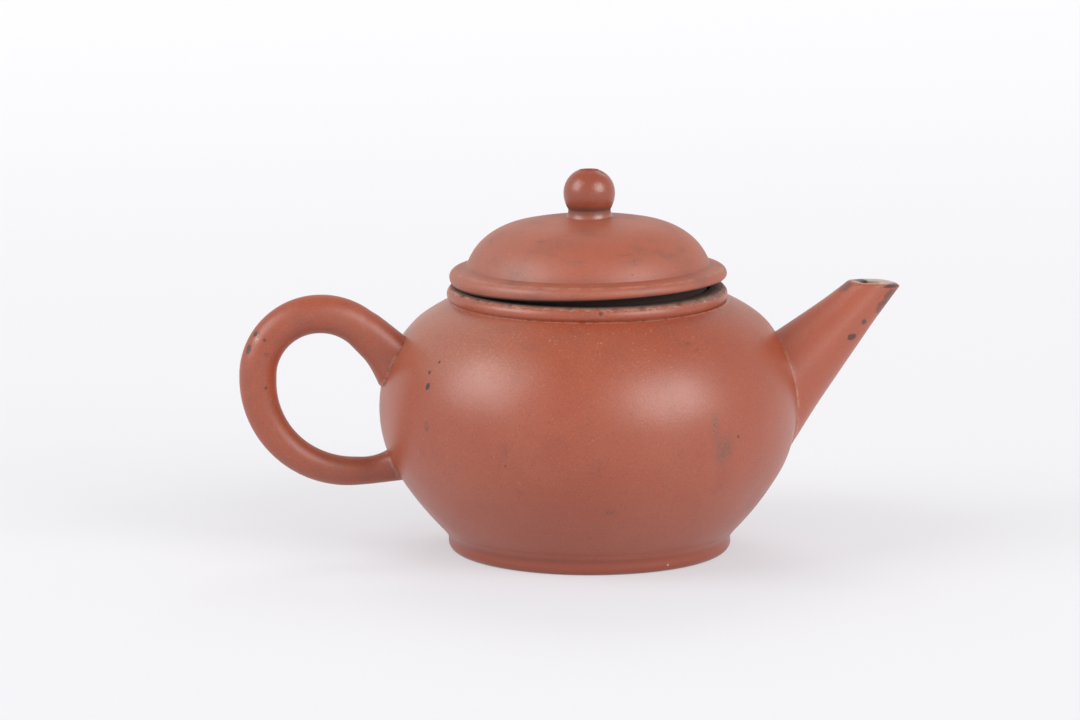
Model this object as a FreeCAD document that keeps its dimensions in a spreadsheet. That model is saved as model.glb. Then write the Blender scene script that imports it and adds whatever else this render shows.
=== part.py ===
"""A small red clay teapot, built from its clay pieces: pot, foot, collar, spout, handle and lid.

Millimetres. The origin is on the pot's axis, on the plane that the foot stands on. +X points to the
spout, -X to the handle and +Z up. The pieces of the pot are luted together, and the lid is loose.
"""
import FreeCAD
import Part
import Sketcher

import math
import os

# Driving dimensions, in millimetres and degrees
SIZES = {
    # belly
    "belly_radius": 40.0,
    "belly_level": 27.3,
    "lower_bend": 57.9,
    "clay_wall": 2.8,
    "base_thickness": 2.6,
    "shoulder_seam_level": 43.5,
    # foot
    "foot_radius": 27.1,
    "foot_height": 3.0,
    "foot_width": 4.2,
    "foot_round": 1.6,
    "foot_crease": 0.4,
    "foot_swell_level": 1.6,
    # mouth
    "mouth_radius": 23.0,
    "collar_width": 3.9,
    "collar_level": 48.1,
    "collar_height": 2.5,
    "collar_tuck": 0.45,
    "collar_round": 1.0,
    "collar_swell": 1.0,
    # lid
    "flange_clearance": 0.5,
    "flange_wall": 2.2,
    "flange_depth": 6.0,
    "seat_gap": 0.1,
    "lid_tilt": 1.0,
    "lid_tilt_heading": -45.0,
    "rim_width": 3.75,
    "rim_tuck": 0.6,
    "rim_level": 1.5,
    "rim_roll": 1.25,
    "rim_rise": 1.4,
    "crease_land": 0.55,
    "crease_level": 3.45,
    "lid_wall": 2.6,
    "dome_bend": 12.95,
    "crown_bend": 67.0,
    "crown_level": 12.8,
    # knob
    "knob_radius": 4.87,
    "knob_level": 17.4,
    "knob_height": 21.85,
    "knob_flat": 1.9,
    "neck_radius": 4.0,
    "neck_level": 14.1,
    "neck_flare": 0.35,
    "vent_radius": 0.9,
    # spout
    "spout_overhang": 15.05,
    "spout_rise": 1.65,
    "spout_pitch": 43.9,
    "spout_tip_radius": 3.8,
    "spout_root_radius": 8.45,
    "spout_length": 24.2,
    "spout_tip_bore": 2.2,
    "spout_root_bore": 5.8,
    "lip_slope": 7.6,
    "outlet_diameter": 6.4,
    # handle
    "handle_overhang": 23.15,
    "handle_level": 33.8,
    "handle_crown_bend": 12.15,
    "handle_lower_bend": 18.2,
    "handle_pitch": 46.0,
    "handle_root_run": 13.4,
    "handle_root_diameter": 8.5,
    "handle_crown_diameter": 7.5,
    "handle_back_diameter": 7.15,
    "handle_lower_diameter": 5.8,
}

# Levels, radii and arc centres worked out from the driving dimensions
PLACES = {
    # mouth and collar
    "collar_radius": "sizes.mouth_radius + sizes.collar_width",
    "seam_radius": "collar_radius - sizes.collar_tuck",
    "collar_top": "sizes.collar_level + sizes.collar_height",
    "collar_edge": "collar_radius - sizes.collar_round",
    "collar_swell_level": "sizes.collar_level + sizes.collar_swell",
    # foot
    "foot_rest_radius": "sizes.foot_radius - sizes.foot_round",
    "foot_seam_radius": "sizes.foot_radius - sizes.foot_crease",
    "foot_bore": "foot_rest_radius - sizes.foot_width",
    "floor_level": "sizes.foot_height + sizes.base_thickness",
    # belly: an arc from the collar seam round the widest level, and a flatter arc from it to the foot
    "belly_in": "sizes.belly_radius - seam_radius",
    "belly_up": "sizes.collar_level - sizes.belly_level",
    "belly_bend": "(belly_in ^ 2 + belly_up ^ 2) / (2 * belly_in)",
    "belly_centre": "sizes.belly_radius - belly_bend",
    "lower_reach": "sizes.lower_bend - belly_bend",
    "foot_in": "foot_seam_radius - belly_centre",
    "foot_down": "sizes.belly_level - sizes.foot_height",
    "foot_far": "sqrt(foot_in ^ 2 + foot_down ^ 2)",
    "lower_along": "(lower_reach ^ 2 - sizes.lower_bend ^ 2 + foot_far ^ 2) / (2 * foot_far)",
    "lower_across": "sqrt(lower_reach ^ 2 - lower_along ^ 2)",
    "lower_out": "(lower_along * foot_in - lower_across * foot_down) / foot_far",
    "lower_up": "(lower_along * foot_down + lower_across * foot_in) / -foot_far",
    "lower_centre": "belly_centre + lower_out",
    "lower_centre_level": "sizes.belly_level + lower_up",
    "bend_radius": "belly_centre - lower_out * belly_bend / lower_reach",
    "bend_level": "sizes.belly_level - lower_up * belly_bend / lower_reach",
    # cavity: the same centres, one clay wall further in
    "inner_bend": "belly_bend - sizes.clay_wall",
    "inner_share": "inner_bend / belly_bend",
    "inner_join": "belly_centre + (bend_radius - belly_centre) * inner_share",
    "inner_join_level": "sizes.belly_level + (bend_level - sizes.belly_level) * inner_share",
    "inner_lower": "sizes.lower_bend - sizes.clay_wall",
    "floor_radius": "lower_centre + sqrt(inner_lower ^ 2 - (lower_centre_level - floor_level) ^ 2)",
    "mouth_in": "sizes.mouth_radius - belly_centre",
    "mouth_level": "sizes.belly_level + sqrt(inner_bend ^ 2 - mouth_in ^ 2)",
    # lid, in its own frame: level 0 is the underside of the rim
    "flange_radius": "sizes.mouth_radius - sizes.flange_clearance",
    "flange_bore": "flange_radius - sizes.flange_wall",
    "flange_height": "sizes.flange_depth + sizes.crease_level",
    "rim_radius": "flange_radius + sizes.rim_width",
    "rim_edge": "rim_radius - sizes.rim_tuck",
    "roll_radius": "rim_radius - sizes.rim_roll",
    "roll_level": "sizes.rim_level + sizes.rim_rise",
    "crease_radius": "flange_radius + sizes.crease_land",
    "roll_bend": "(sizes.rim_roll ^ 2 + sizes.rim_rise ^ 2) / (2 * sizes.rim_roll)",
    "cove_in": "crease_radius - roll_radius",
    "cove_up": "sizes.crease_level - roll_level",
    "roll_out": "(roll_bend - sizes.rim_roll) / roll_bend",
    "roll_up": "sizes.rim_rise / roll_bend",
    "cove_bend": "(cove_in ^ 2 + cove_up ^ 2) / (2 * (roll_out * cove_in + roll_up * cove_up))",
    "cove_centre_level": "roll_level + cove_bend * roll_up",
    # dome: a crown arc on the axis and a corner arc that touches it and passes through the crease
    "crown_centre": "sizes.crown_level - sizes.crown_bend",
    "dome_reach": "sizes.crown_bend - sizes.dome_bend",
    "crease_up": "sizes.crease_level - crown_centre",
    "crease_far": "sqrt(crease_radius ^ 2 + crease_up ^ 2)",
    "dome_along": "(dome_reach ^ 2 - sizes.dome_bend ^ 2 + crease_far ^ 2) / (2 * crease_far)",
    "dome_across": "sqrt(dome_reach ^ 2 - dome_along ^ 2)",
    "dome_centre": "(dome_along * crease_radius - dome_across * crease_up) / crease_far",
    "dome_up": "(dome_along * crease_up + dome_across * crease_radius) / crease_far",
    "dome_centre_level": "crown_centre + dome_up",
    "dome_join": "dome_centre * sizes.crown_bend / dome_reach",
    "dome_join_level": "crown_centre + dome_up * sizes.crown_bend / dome_reach",
    "dome_inner_bend": "sizes.dome_bend - sizes.lid_wall",
    "crown_inner_bend": "sizes.crown_bend - sizes.lid_wall",
    "dome_inner_join": "dome_centre * crown_inner_bend / dome_reach",
    "dome_inner_join_level": "crown_centre + dome_up * crown_inner_bend / dome_reach",
    "dome_drop": "dome_centre_level - sizes.crease_level",
    "dome_bore": "dome_centre + sqrt(dome_inner_bend ^ 2 - dome_drop ^ 2)",
    "vent_inner_level": "crown_centre + sqrt(crown_inner_bend ^ 2 - sizes.vent_radius ^ 2)",
    # knob
    "knob_foot": "sizes.neck_radius + sizes.neck_flare",
    "knob_seat": "crown_centre + sqrt(sizes.crown_bend ^ 2 - knob_foot ^ 2)",
    # seat of the lid on the collar, tipped about the side that touches
    "lid_shift": "rim_edge * (cos(sizes.lid_tilt) - 1)",
    "lid_seat": "collar_top + sizes.seat_gap + rim_edge * sin(sizes.lid_tilt)",
    # spout: a straight taper, longer at both ends than what the belly and the lip leave of it
    "spout_reach": "sizes.belly_radius + sizes.spout_overhang",
    "lip_level": "sizes.collar_level + sizes.spout_rise",
    "spout_flare": "(sizes.spout_root_radius - sizes.spout_tip_radius) / sizes.spout_length",
    "bore_flare": "(sizes.spout_root_bore - sizes.spout_tip_bore) / sizes.spout_length",
    "above_lip": "2 * sizes.spout_tip_radius",
    "below_lip": "sizes.spout_length + 2 * sizes.spout_root_radius",
    "tube_length": "below_lip + above_lip",
    "lip_end_radius": "sizes.spout_tip_radius - spout_flare * above_lip",
    "lip_end_bore": "sizes.spout_tip_bore - bore_flare * above_lip",
    "root_end_radius": "sizes.spout_tip_radius + spout_flare * below_lip",
    "root_end_bore": "sizes.spout_tip_bore + bore_flare * below_lip",
    "spout_start": "spout_reach - below_lip * cos(sizes.spout_pitch)",
    "spout_start_level": "lip_level - below_lip * sin(sizes.spout_pitch)",
    "trim_half": "sizes.spout_length",
    # handle: root line, crown arc, lower arc and a level run back to the belly
    "handle_back": "sizes.belly_radius + sizes.handle_overhang",
    "crown_x": "handle_back - sizes.handle_crown_bend",
    "crown_top": "sizes.handle_level + sizes.handle_crown_bend",
    "crown_end_x": "crown_x - sizes.handle_crown_bend * sin(sizes.handle_pitch)",
    "crown_end_level": "sizes.handle_level + sizes.handle_crown_bend * cos(sizes.handle_pitch)",
    "root_x": "crown_end_x - sizes.handle_root_run * cos(sizes.handle_pitch)",
    "root_level": "crown_end_level - sizes.handle_root_run * sin(sizes.handle_pitch)",
    "lower_x": "handle_back - sizes.handle_lower_bend",
    "lower_level": "sizes.handle_level - sizes.handle_lower_bend",
    "tail_x": "lower_x - sizes.handle_lower_bend",
}

UP = FreeCAD.Vector(0, 0, 1)
FULL_TURN = 360.0
ORIGIN_POINT = (-1, 1)
START, END, CENTRE = 1, 2, 3
LEVEL_AXIS = -1
UPRIGHT_AXIS = -2

doc = FreeCAD.newDocument("teapot")


def fill_sheet(name, cells):
    """Write one row per named value: its name, and a number or a formula."""
    sheet = doc.addObject("Spreadsheet::Sheet", name)
    for row, (alias, content) in enumerate(cells.items(), start=1):
        sheet.set(f"A{row}", alias)
        sheet.set(f"B{row}", content)
        sheet.setAlias(f"B{row}", alias)
    doc.recompute()
    return sheet


sizes = fill_sheet("sizes", {alias: str(number) for alias, number in SIZES.items()})
places = fill_sheet("places", {alias: "=" + formula for alias, formula in PLACES.items()})


def where(alias):
    """The sheet's own path of a named value, for an expression."""
    sheet = "sizes" if alias in SIZES else "places"
    return f"{sheet}.{alias}"


def number(alias):
    """The present value of a named size or place. None stands for the axis or the ground level."""
    if alias is None:
        return 0.0
    sheet = sizes if alias in SIZES else places
    return float(sheet.get(alias))


def new_body(label):
    body = doc.addObject("PartDesign::Body", label)
    body.Label = label
    return body


def new_sketch(body, name, role="XZ_Plane"):
    """A sketch on one of the body's own origin planes."""
    sketch = body.newObject("Sketcher::SketchObject", name)
    plane = next(item for item in body.Origin.OriginFeatures if item.Role == role)
    sketch.AttachmentSupport = [(plane, "")]
    sketch.MapMode = "FlatFace"
    return sketch


def tie(sketch, kind, place, alias):
    """Hold a point's distance from the origin, along or up the sketch, to a named value."""
    index = sketch.addConstraint(Sketcher.Constraint(kind, *ORIGIN_POINT, *place, number(alias)))
    name = f"{kind}_{index}"
    sketch.renameConstraint(index, name)
    sketch.setExpression(f"Constraints.{name}", where(alias))


def arc_between(start, end, centre_level):
    """The shorter arc through two points whose centre lies at a level, and whether it runs backwards."""
    rise_start = (start.y - centre_level) ** 2
    rise_end = (end.y - centre_level) ** 2
    centre_x = (end.x ** 2 - start.x ** 2 + rise_end - rise_start) / (2 * (end.x - start.x))
    centre = FreeCAD.Vector(centre_x, centre_level, 0)
    first = math.atan2(start.y - centre.y, start.x - centre.x)
    last = math.atan2(end.y - centre.y, end.x - centre.x)
    backwards = (last - first) % (2 * math.pi) > math.pi
    if backwards:
        first, last = last, first
    circle = Part.Circle(centre, UP, start.distanceToPoint(centre))
    return Part.ArcOfCircle(circle, first, last), backwards


def draw(sketch, corners, closed=True):
    """Draw an outline through (x, level, arc centre level) corners, tied to the sheet point by point."""
    points = []
    for x, level, _ in corners:
        points.append(FreeCAD.Vector(number(x), number(level), 0))
    count = len(corners) if closed else len(corners) - 1
    starts = []
    ends = []
    for step in range(count):
        start = points[step]
        end = points[(step + 1) % len(points)]
        centre = corners[step][2]
        backwards = False
        if centre is None:
            edge = Part.LineSegment(start, end)
        else:
            edge, backwards = arc_between(start, end, number(centre))
        index = sketch.addGeometry(edge, False)
        starts.append((index, END if backwards else START))
        ends.append((index, START if backwards else END))
    for step in range(count):
        following = (step + 1) % len(corners)
        if following < len(starts):
            sketch.addConstraint(Sketcher.Constraint("Coincident", *ends[step], *starts[following]))
    held = starts if closed else starts + [ends[-1]]
    for place, (x, level, _) in zip(held, corners):
        if x is None:
            sketch.addConstraint(Sketcher.Constraint("PointOnObject", *place, UPRIGHT_AXIS))
        else:
            tie(sketch, "DistanceX", place, x)
        if level is None:
            sketch.addConstraint(Sketcher.Constraint("PointOnObject", *place, LEVEL_AXIS))
        else:
            tie(sketch, "DistanceY", place, level)
    for place, (_, _, centre) in zip(starts, corners):
        if centre is not None:
            tie(sketch, "DistanceY", (place[0], CENTRE), centre)


def draw_circle(sketch, x, level, diameter):
    """A circle tied to the sheet. None puts its centre on an axis of the sketch."""
    centre = FreeCAD.Vector(number(x), number(level), 0)
    index = sketch.addGeometry(Part.Circle(centre, UP, number(diameter) / 2), False)
    for kind, axis, alias in (("DistanceX", UPRIGHT_AXIS, x), ("DistanceY", LEVEL_AXIS, level)):
        if alias is None:
            sketch.addConstraint(Sketcher.Constraint("PointOnObject", index, CENTRE, axis))
        else:
            tie(sketch, kind, (index, CENTRE), alias)
    held = sketch.addConstraint(Sketcher.Constraint("Diameter", index, number(diameter)))
    sketch.renameConstraint(held, "round")
    sketch.setExpression("Constraints.round", where(diameter))


def turned(label, corners):
    """A body turned about its upright axis from a half section."""
    body = new_body(label)
    sketch = new_sketch(body, f"{label}_section")
    draw(sketch, corners)
    turn = body.newObject("PartDesign::Revolution", f"{label}_turn")
    turn.Profile = sketch
    turn.ReferenceAxis = (sketch, ["V_Axis"])
    turn.Angle = FULL_TURN
    doc.recompute()
    return body


def slab(label, low, high):
    """A round slab as wide as the pot between two levels."""
    disc = doc.addObject("Part::Cylinder", label)
    disc.setExpression("Radius", "sizes.belly_radius + sizes.clay_wall")
    disc.setExpression("Height", f"{high} - {low}")
    disc.setExpression("Placement.Base.z", low)
    return disc


def join(kind, label, base, tool):
    """A boolean of two objects."""
    result = doc.addObject(kind, label)
    result.Label = label
    result.Base = base
    result.Tool = tool
    return result


def place_by(thing, x, y, level, axis, angle):
    """Set a thing's place and turn from the sheet."""
    vector = f"vector({x}; {y}; {level})"
    thing.setExpression("Placement", f"placement({vector}; rotation(vector({axis}); {angle}))")


# Clay skin of the pot: the outer form less the cavity, cut into base, lower wall, upper wall and shoulder
outer_form = turned("outer_form", [
    (None, "foot_height", None),
    ("foot_seam_radius", "foot_height", "lower_centre_level"),
    ("bend_radius", "bend_level", "belly_level"),
    ("seam_radius", "collar_level", None),
    (None, "collar_level", None),
])
cavity_form = turned("cavity_form", [
    (None, "floor_level", None),
    ("floor_radius", "floor_level", "lower_centre_level"),
    ("inner_join", "inner_join_level", "belly_level"),
    ("mouth_radius", "mouth_level", None),
    ("mouth_radius", "collar_top", None),
    (None, "collar_top", None),
])
clay_skin = join("Part::Cut", "clay_skin", outer_form, cavity_form)
base_slab = slab("base_slab", "sizes.foot_height", "places.floor_level")
lower_slab = slab("lower_slab", "places.floor_level", "sizes.belly_level")
upper_slab = slab("upper_slab", "sizes.belly_level", "sizes.shoulder_seam_level")
shoulder_slab = slab("shoulder_slab", "sizes.shoulder_seam_level", "sizes.collar_level")
base_disc = join("Part::Common", "base_disc", clay_skin, base_slab)
lower_wall = join("Part::Common", "lower_wall", clay_skin, lower_slab)
whole_upper_wall = join("Part::Common", "whole_upper_wall", clay_skin, upper_slab)
shoulder_disc = join("Part::Common", "shoulder_disc", clay_skin, shoulder_slab)

# Foot ring: a coil with a rolled outside and a flat rest
foot_ring = turned("foot_ring", [
    ("foot_bore", None, None),
    ("foot_rest_radius", None, "foot_swell_level"),
    ("foot_radius", "foot_swell_level", "foot_swell_level"),
    ("foot_seam_radius", "foot_height", None),
    ("foot_bore", "foot_height", None),
])

# Mouth collar: a bead round the mouth, tucked in at the shoulder
mouth_collar = turned("mouth_collar", [
    ("mouth_radius", "collar_level", None),
    ("seam_radius", "collar_level", "collar_swell_level"),
    ("collar_radius", "collar_swell_level", "collar_swell_level"),
    ("collar_edge", "collar_top", None),
    ("mouth_radius", "collar_top", None),
])

# Spout: a tapering tube turned about its own axis, laid at its pitch, rooted on the belly, cut at the lip
spout_tube = turned("spout_tube", [
    ("root_end_bore", None, None),
    ("root_end_radius", None, None),
    ("lip_end_radius", "tube_length", None),
    ("lip_end_bore", "tube_length", None),
])
SPOUT_LAY = "90 - sizes.spout_pitch"
place_by(spout_tube, "places.spout_start", "0", "places.spout_start_level", "0; 1; 0", SPOUT_LAY)
lip_trim = doc.addObject("Part::Box", "lip_trim")
for side in ("Length", "Width", "Height"):
    lip_trim.setExpression(side, "2 * places.trim_half")
TRIM_X = "places.spout_reach - places.trim_half * cos(sizes.lip_slope)"
TRIM_LEVEL = "places.lip_level + places.trim_half * sin(sizes.lip_slope)"
place_by(lip_trim, TRIM_X, "-places.trim_half", TRIM_LEVEL, "0; 1; 0", "sizes.lip_slope")
rooted_spout = join("Part::Cut", "rooted_spout", spout_tube, outer_form)
spout = join("Part::Cut", "spout", rooted_spout, lip_trim)

# Outlet: one round hole punched through the upper wall along the spout's axis
outlet_punch = new_body("outlet_punch")
outlet_round = new_sketch(outlet_punch, "outlet_round", "XY_Plane")
draw_circle(outlet_round, None, None, "outlet_diameter")
punch_pin = outlet_punch.newObject("PartDesign::Pad", "punch_pin")
punch_pin.Profile = outlet_round
punch_pin.setExpression("Length", "places.tube_length")
doc.recompute()
place_by(outlet_punch, "places.spout_start", "0", "places.spout_start_level", "0; 1; 0", SPOUT_LAY)
upper_wall = join("Part::Cut", "upper_wall", whole_upper_wall, outlet_punch)

# Handle: a round rod that thins from its upper root to its lower one, bent in the pot's middle plane
handle_bow = new_body("handle_bow")
handle_path = new_sketch(handle_bow, "handle_path")
draw(handle_path, [
    ("root_x", "root_level", None),
    ("crown_end_x", "crown_end_level", "handle_level"),
    ("handle_back", "handle_level", "handle_level"),
    ("lower_x", "lower_level", None),
    ("tail_x", "lower_level", None),
], closed=False)


def rod_section(name, role, rise, along, turn, centre, diameter):
    """A round section of the rod, on an origin plane that is raised, moved along its normal and turned."""
    sketch = new_sketch(handle_bow, name, role)
    offset = f"vector(0; {rise}; {along})"
    sketch.setExpression("AttachmentOffset", f"placement({offset}; rotation(vector(1; 0; 0); {turn}))")
    draw_circle(sketch, *centre, diameter)
    return sketch


root_ring = rod_section("root_ring", "YZ_Plane", "places.root_level", "places.root_x", "-sizes.handle_pitch",
                        (None, None), "handle_root_diameter")
crown_ring = rod_section("crown_ring", "YZ_Plane", "0", "places.crown_x", "0",
                         (None, "crown_top"), "handle_crown_diameter")
back_ring = rod_section("back_ring", "XY_Plane", "0", "sizes.handle_level", "0",
                        ("handle_back", None), "handle_back_diameter")
lower_ring = rod_section("lower_ring", "YZ_Plane", "0", "places.lower_x", "0",
                         (None, "lower_level"), "handle_lower_diameter")
tail_ring = rod_section("tail_ring", "YZ_Plane", "0", "places.tail_x", "0",
                        (None, "lower_level"), "handle_lower_diameter")
doc.recompute()
rod = handle_bow.newObject("PartDesign::AdditivePipe", "rod")
rod.Profile = root_ring
rod.Spine = (handle_path, [f"Edge{step}" for step in range(1, handle_path.GeometryCount + 1)])
rod.Sections = [(ring, [""]) for ring in (crown_ring, back_ring, lower_ring, tail_ring)]
rod.Transformation = "Multisection"
doc.recompute()
place_by(handle_bow, "0", "0", "0", "0; 0; 1", "180")
handle = join("Part::Cut", "handle", handle_bow, outer_form)

# Lid: rim bead, flange and dome in the lid's own frame, then the knob, all seated a little askew
lid_rim = turned("lid_rim", [
    ("flange_radius", None, None),
    ("rim_edge", None, "rim_level"),
    ("rim_radius", "rim_level", "rim_level"),
    ("roll_radius", "roll_level", "cove_centre_level"),
    ("crease_radius", "crease_level", None),
    ("flange_radius", "crease_level", None),
])
lid_dome = turned("lid_dome", [
    ("dome_bore", "crease_level", None),
    ("crease_radius", "crease_level", "dome_centre_level"),
    ("dome_join", "dome_join_level", "crown_centre"),
    ("knob_foot", "knob_seat", None),
    ("vent_radius", "knob_seat", None),
    ("vent_radius", "vent_inner_level", "crown_centre"),
    ("dome_inner_join", "dome_inner_join_level", "dome_centre_level"),
])
knob = turned("knob", [
    ("vent_radius", "knob_seat", None),
    ("knob_foot", "knob_seat", "neck_level"),
    ("neck_radius", "neck_level", "knob_level"),
    ("knob_radius", "knob_level", "knob_level"),
    ("knob_flat", "knob_height", None),
    ("vent_radius", "knob_height", None),
])
lid_flange = turned("lid_flange", [
    ("flange_bore", None, None),
    ("flange_radius", None, None),
    ("flange_radius", "flange_height", None),
    ("flange_bore", "flange_height", None),
])
TILT_AXIS = "-sin(sizes.lid_tilt_heading); cos(sizes.lid_tilt_heading); 0"
LID_X = "places.lid_shift * cos(sizes.lid_tilt_heading)"
LID_Y = "places.lid_shift * sin(sizes.lid_tilt_heading)"
for piece in (lid_rim, lid_dome, knob):
    place_by(piece, LID_X, LID_Y, "places.lid_seat", TILT_AXIS, "-sizes.lid_tilt")
DROP = "sizes.flange_depth * sin(sizes.lid_tilt)"
FLANGE_X = f"{LID_X} + {DROP} * cos(sizes.lid_tilt_heading)"
FLANGE_Y = f"{LID_Y} + {DROP} * sin(sizes.lid_tilt_heading)"
FLANGE_LEVEL = "places.lid_seat - sizes.flange_depth * cos(sizes.lid_tilt)"
place_by(lid_flange, FLANGE_X, FLANGE_Y, FLANGE_LEVEL, TILT_AXIS, "-sizes.lid_tilt")

doc.recompute()

PIECES = (base_disc, lower_wall, upper_wall, shoulder_disc, foot_ring, mouth_collar, spout, handle,
          lid_dome, lid_rim, lid_flange, knob)
for thing in doc.Objects:
    if "Invalid" in thing.State or "Error" in thing.State:
        raise RuntimeError(f"{thing.Label} failed: {thing.State}")
os.makedirs("parts", exist_ok=True)
for piece in PIECES:
    shape = piece.Shape
    if shape.isNull() or not shape.isValid():
        raise RuntimeError(f"{piece.Label} has no valid shape")
    print(piece.Label, len(shape.Solids), "solid", round(shape.Volume, 1), "mm3", shape.BoundBox)
for piece in PIECES:
    piece.Shape.exportStep(os.path.join("parts", f"{piece.Label}.step"))
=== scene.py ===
# %% [markdown]
# # A small red clay teapot
# The measured solids come first, as a fixed frame. Every piece of clay is then modelled again in Blender
# at the same place and size, because a potter's surface is never as even as a turned solid: walls swell,
# joints carry a little slip, edges wear. The lesson goes piece by piece, then through the clay itself.

import math

import bpy
import numpy as np
from mathutils import Matrix, Vector


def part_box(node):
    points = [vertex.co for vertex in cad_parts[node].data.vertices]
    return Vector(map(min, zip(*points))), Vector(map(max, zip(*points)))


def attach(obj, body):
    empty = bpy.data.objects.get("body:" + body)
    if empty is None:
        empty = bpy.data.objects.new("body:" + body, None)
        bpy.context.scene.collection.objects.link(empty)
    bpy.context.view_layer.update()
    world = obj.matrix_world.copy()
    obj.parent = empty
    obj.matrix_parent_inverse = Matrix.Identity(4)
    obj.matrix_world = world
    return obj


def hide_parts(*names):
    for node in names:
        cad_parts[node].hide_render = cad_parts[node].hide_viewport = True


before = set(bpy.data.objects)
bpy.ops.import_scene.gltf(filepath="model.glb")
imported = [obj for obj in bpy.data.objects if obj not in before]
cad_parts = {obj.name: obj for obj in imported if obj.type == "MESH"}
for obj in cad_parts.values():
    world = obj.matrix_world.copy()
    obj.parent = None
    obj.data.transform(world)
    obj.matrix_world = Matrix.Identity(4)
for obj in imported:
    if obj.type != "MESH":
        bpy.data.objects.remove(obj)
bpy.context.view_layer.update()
MM = 0.001

# %% [markdown]
# ## Sizes
# Levels are read from the frame, so a piece can't drift from the solid it stands for. The few radii and
# bends that a box can't give are named in millimetres, as on the potter's drawing.

# %% Levels from the frame and the pot's main radii


def level_range(node):
    low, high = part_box(node)
    return low.z / MM, high.z / MM


foot_height, floor_level = level_range("base_disc")
belly_level, shoulder_seam_level = level_range("upper_wall")
collar_level, collar_top = level_range("mouth_collar")
belly_radius = 40.0
lower_bend = 57.9
clay_wall = 2.8
foot_seam_radius = 26.7
mouth_radius = 23.0
collar_seam_radius = 26.45
print("floor", round(floor_level, 2), "seam", round(shoulder_seam_level, 2), "collar", round(collar_top, 2))

# %% [markdown]
# ## Drawing a section
# A round piece is half a section turned about the axis. Each curved stretch of the section is an arc
# through two corners whose centre lies at a known level, which is how the drawing gives it.

# %% Arcs, straight runs and bows of a section


def arc(start, end, centre_level, count=18):
    """Points of the shorter arc from start to end, the first left out."""
    (x0, z0), (x1, z1) = start, end
    squares = x1 ** 2 - x0 ** 2 + (z1 - centre_level) ** 2 - (z0 - centre_level) ** 2
    centre_x = squares / (2 * (x1 - x0))
    radius = math.hypot(x0 - centre_x, z0 - centre_level)
    first = math.atan2(z0 - centre_level, x0 - centre_x)
    sweep = math.atan2(z1 - centre_level, x1 - centre_x) - first
    sweep = (sweep + math.pi) % math.tau - math.pi
    turns = [first + sweep * step / count for step in range(1, count + 1)]
    return [(centre_x + radius * math.cos(turn), centre_level + radius * math.sin(turn)) for turn in turns]


def run(start, end, count=8):
    """Evenly spaced points of a straight stretch, the first left out."""
    shares = [step / count for step in range(1, count + 1)]
    return [(start[0] + (end[0] - start[0]) * s, start[1] + (end[1] - start[1]) * s) for s in shares]


def bow(start, lean_out, lean_in, end, count=24):
    """Points of a bow that leaves and arrives towards two leaning points, the first left out."""
    corners = np.array([start, lean_out, lean_in, end])
    gone = np.linspace(0, 1, count + 1)[1:, None]
    left = 1 - gone
    weights = np.hstack([left ** 3, 3 * gone * left ** 2, 3 * gone ** 2 * left, gone ** 3])
    return [(float(x), float(z)) for x, z in weights @ corners]


# %% [markdown]
# ## The belly's line
# The belly is two arcs that run into each other without a corner. The upper one has its centre at the widest
# level and ends under the collar. The lower one ends at the foot, and its centre is worked out where it
# touches the upper one. A formula was chosen over a drawn curve, because the inner wall and the roots of the
# spout and the handle all ask for the same line again.

# %% The belly's two arcs


def touching_centre(centre, bend, point, other_bend, side):
    """The way from an arc's centre to that of another, which runs into it smoothly and meets a point."""
    reach = other_bend - bend
    right, up = point[0] - centre[0], point[1] - centre[1]
    far = math.hypot(right, up)
    ahead = (reach ** 2 - other_bend ** 2 + far ** 2) / (2 * far)
    off = side * math.sqrt(reach ** 2 - ahead ** 2)
    return (ahead * right + off * up) / far, (ahead * up - off * right) / far


belly_in = belly_radius - collar_seam_radius
belly_up = collar_level - belly_level
belly_bend = (belly_in ** 2 + belly_up ** 2) / (2 * belly_in)
belly_centre = belly_radius - belly_bend
lower_out, lower_up = touching_centre(
    (belly_centre, belly_level), belly_bend, (foot_seam_radius, foot_height), lower_bend, side=1)
lower_centre = belly_centre + lower_out
lower_centre_level = belly_level + lower_up
bend_drop = lower_up * belly_bend / (lower_bend - belly_bend)


def belly_at(level, inset=0.0):
    """The belly's radius at a level, or an inset wall's, worked out on whole arrays."""
    level = np.asarray(level, float)
    inset_join = belly_level - bend_drop * (belly_bend - inset) / belly_bend
    upper = np.clip((belly_bend - inset) ** 2 - (level - belly_level) ** 2, 0, None)
    lower = np.clip((lower_bend - inset) ** 2 - (level - lower_centre_level) ** 2, 0, None)
    return np.where(level > inset_join, belly_centre + np.sqrt(upper), lower_centre + np.sqrt(lower))


def wall_line(low, high, inset=0.0, count=60):
    """Points up the belly's wall between two levels, closer together near the top."""
    share = np.linspace(0, 1, count + 1)
    levels = low + (high - low) * np.sin(share * math.pi / 2)
    return [(float(radius), float(level)) for radius, level in zip(belly_at(levels, inset), levels)]


print("belly bend", round(belly_bend, 2), "lower bend", round(lower_bend, 2))

# %% [markdown]
# ## Turning a section
# The section is walked corner by corner with extrude, as by hand: a plane is merged to one point, and the
# point is drawn out along the outline. Spin then carries the line round the axis. Merging doubles closes
# the seam and the poles, and the normals are set outwards afterwards.

# %% Extrude an outline and spin it
AROUND = 192
MERGE_WITHIN = 0.002
SMOOTH_ANGLE = math.radians(38)


def select_none():
    if bpy.context.mode != "OBJECT":
        bpy.ops.object.mode_set(mode="OBJECT")
    bpy.ops.object.select_all(action="DESELECT")


def pick(piece):
    """Select one piece alone and make it the active one."""
    select_none()
    piece.select_set(True)
    bpy.context.view_layer.objects.active = piece


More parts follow.
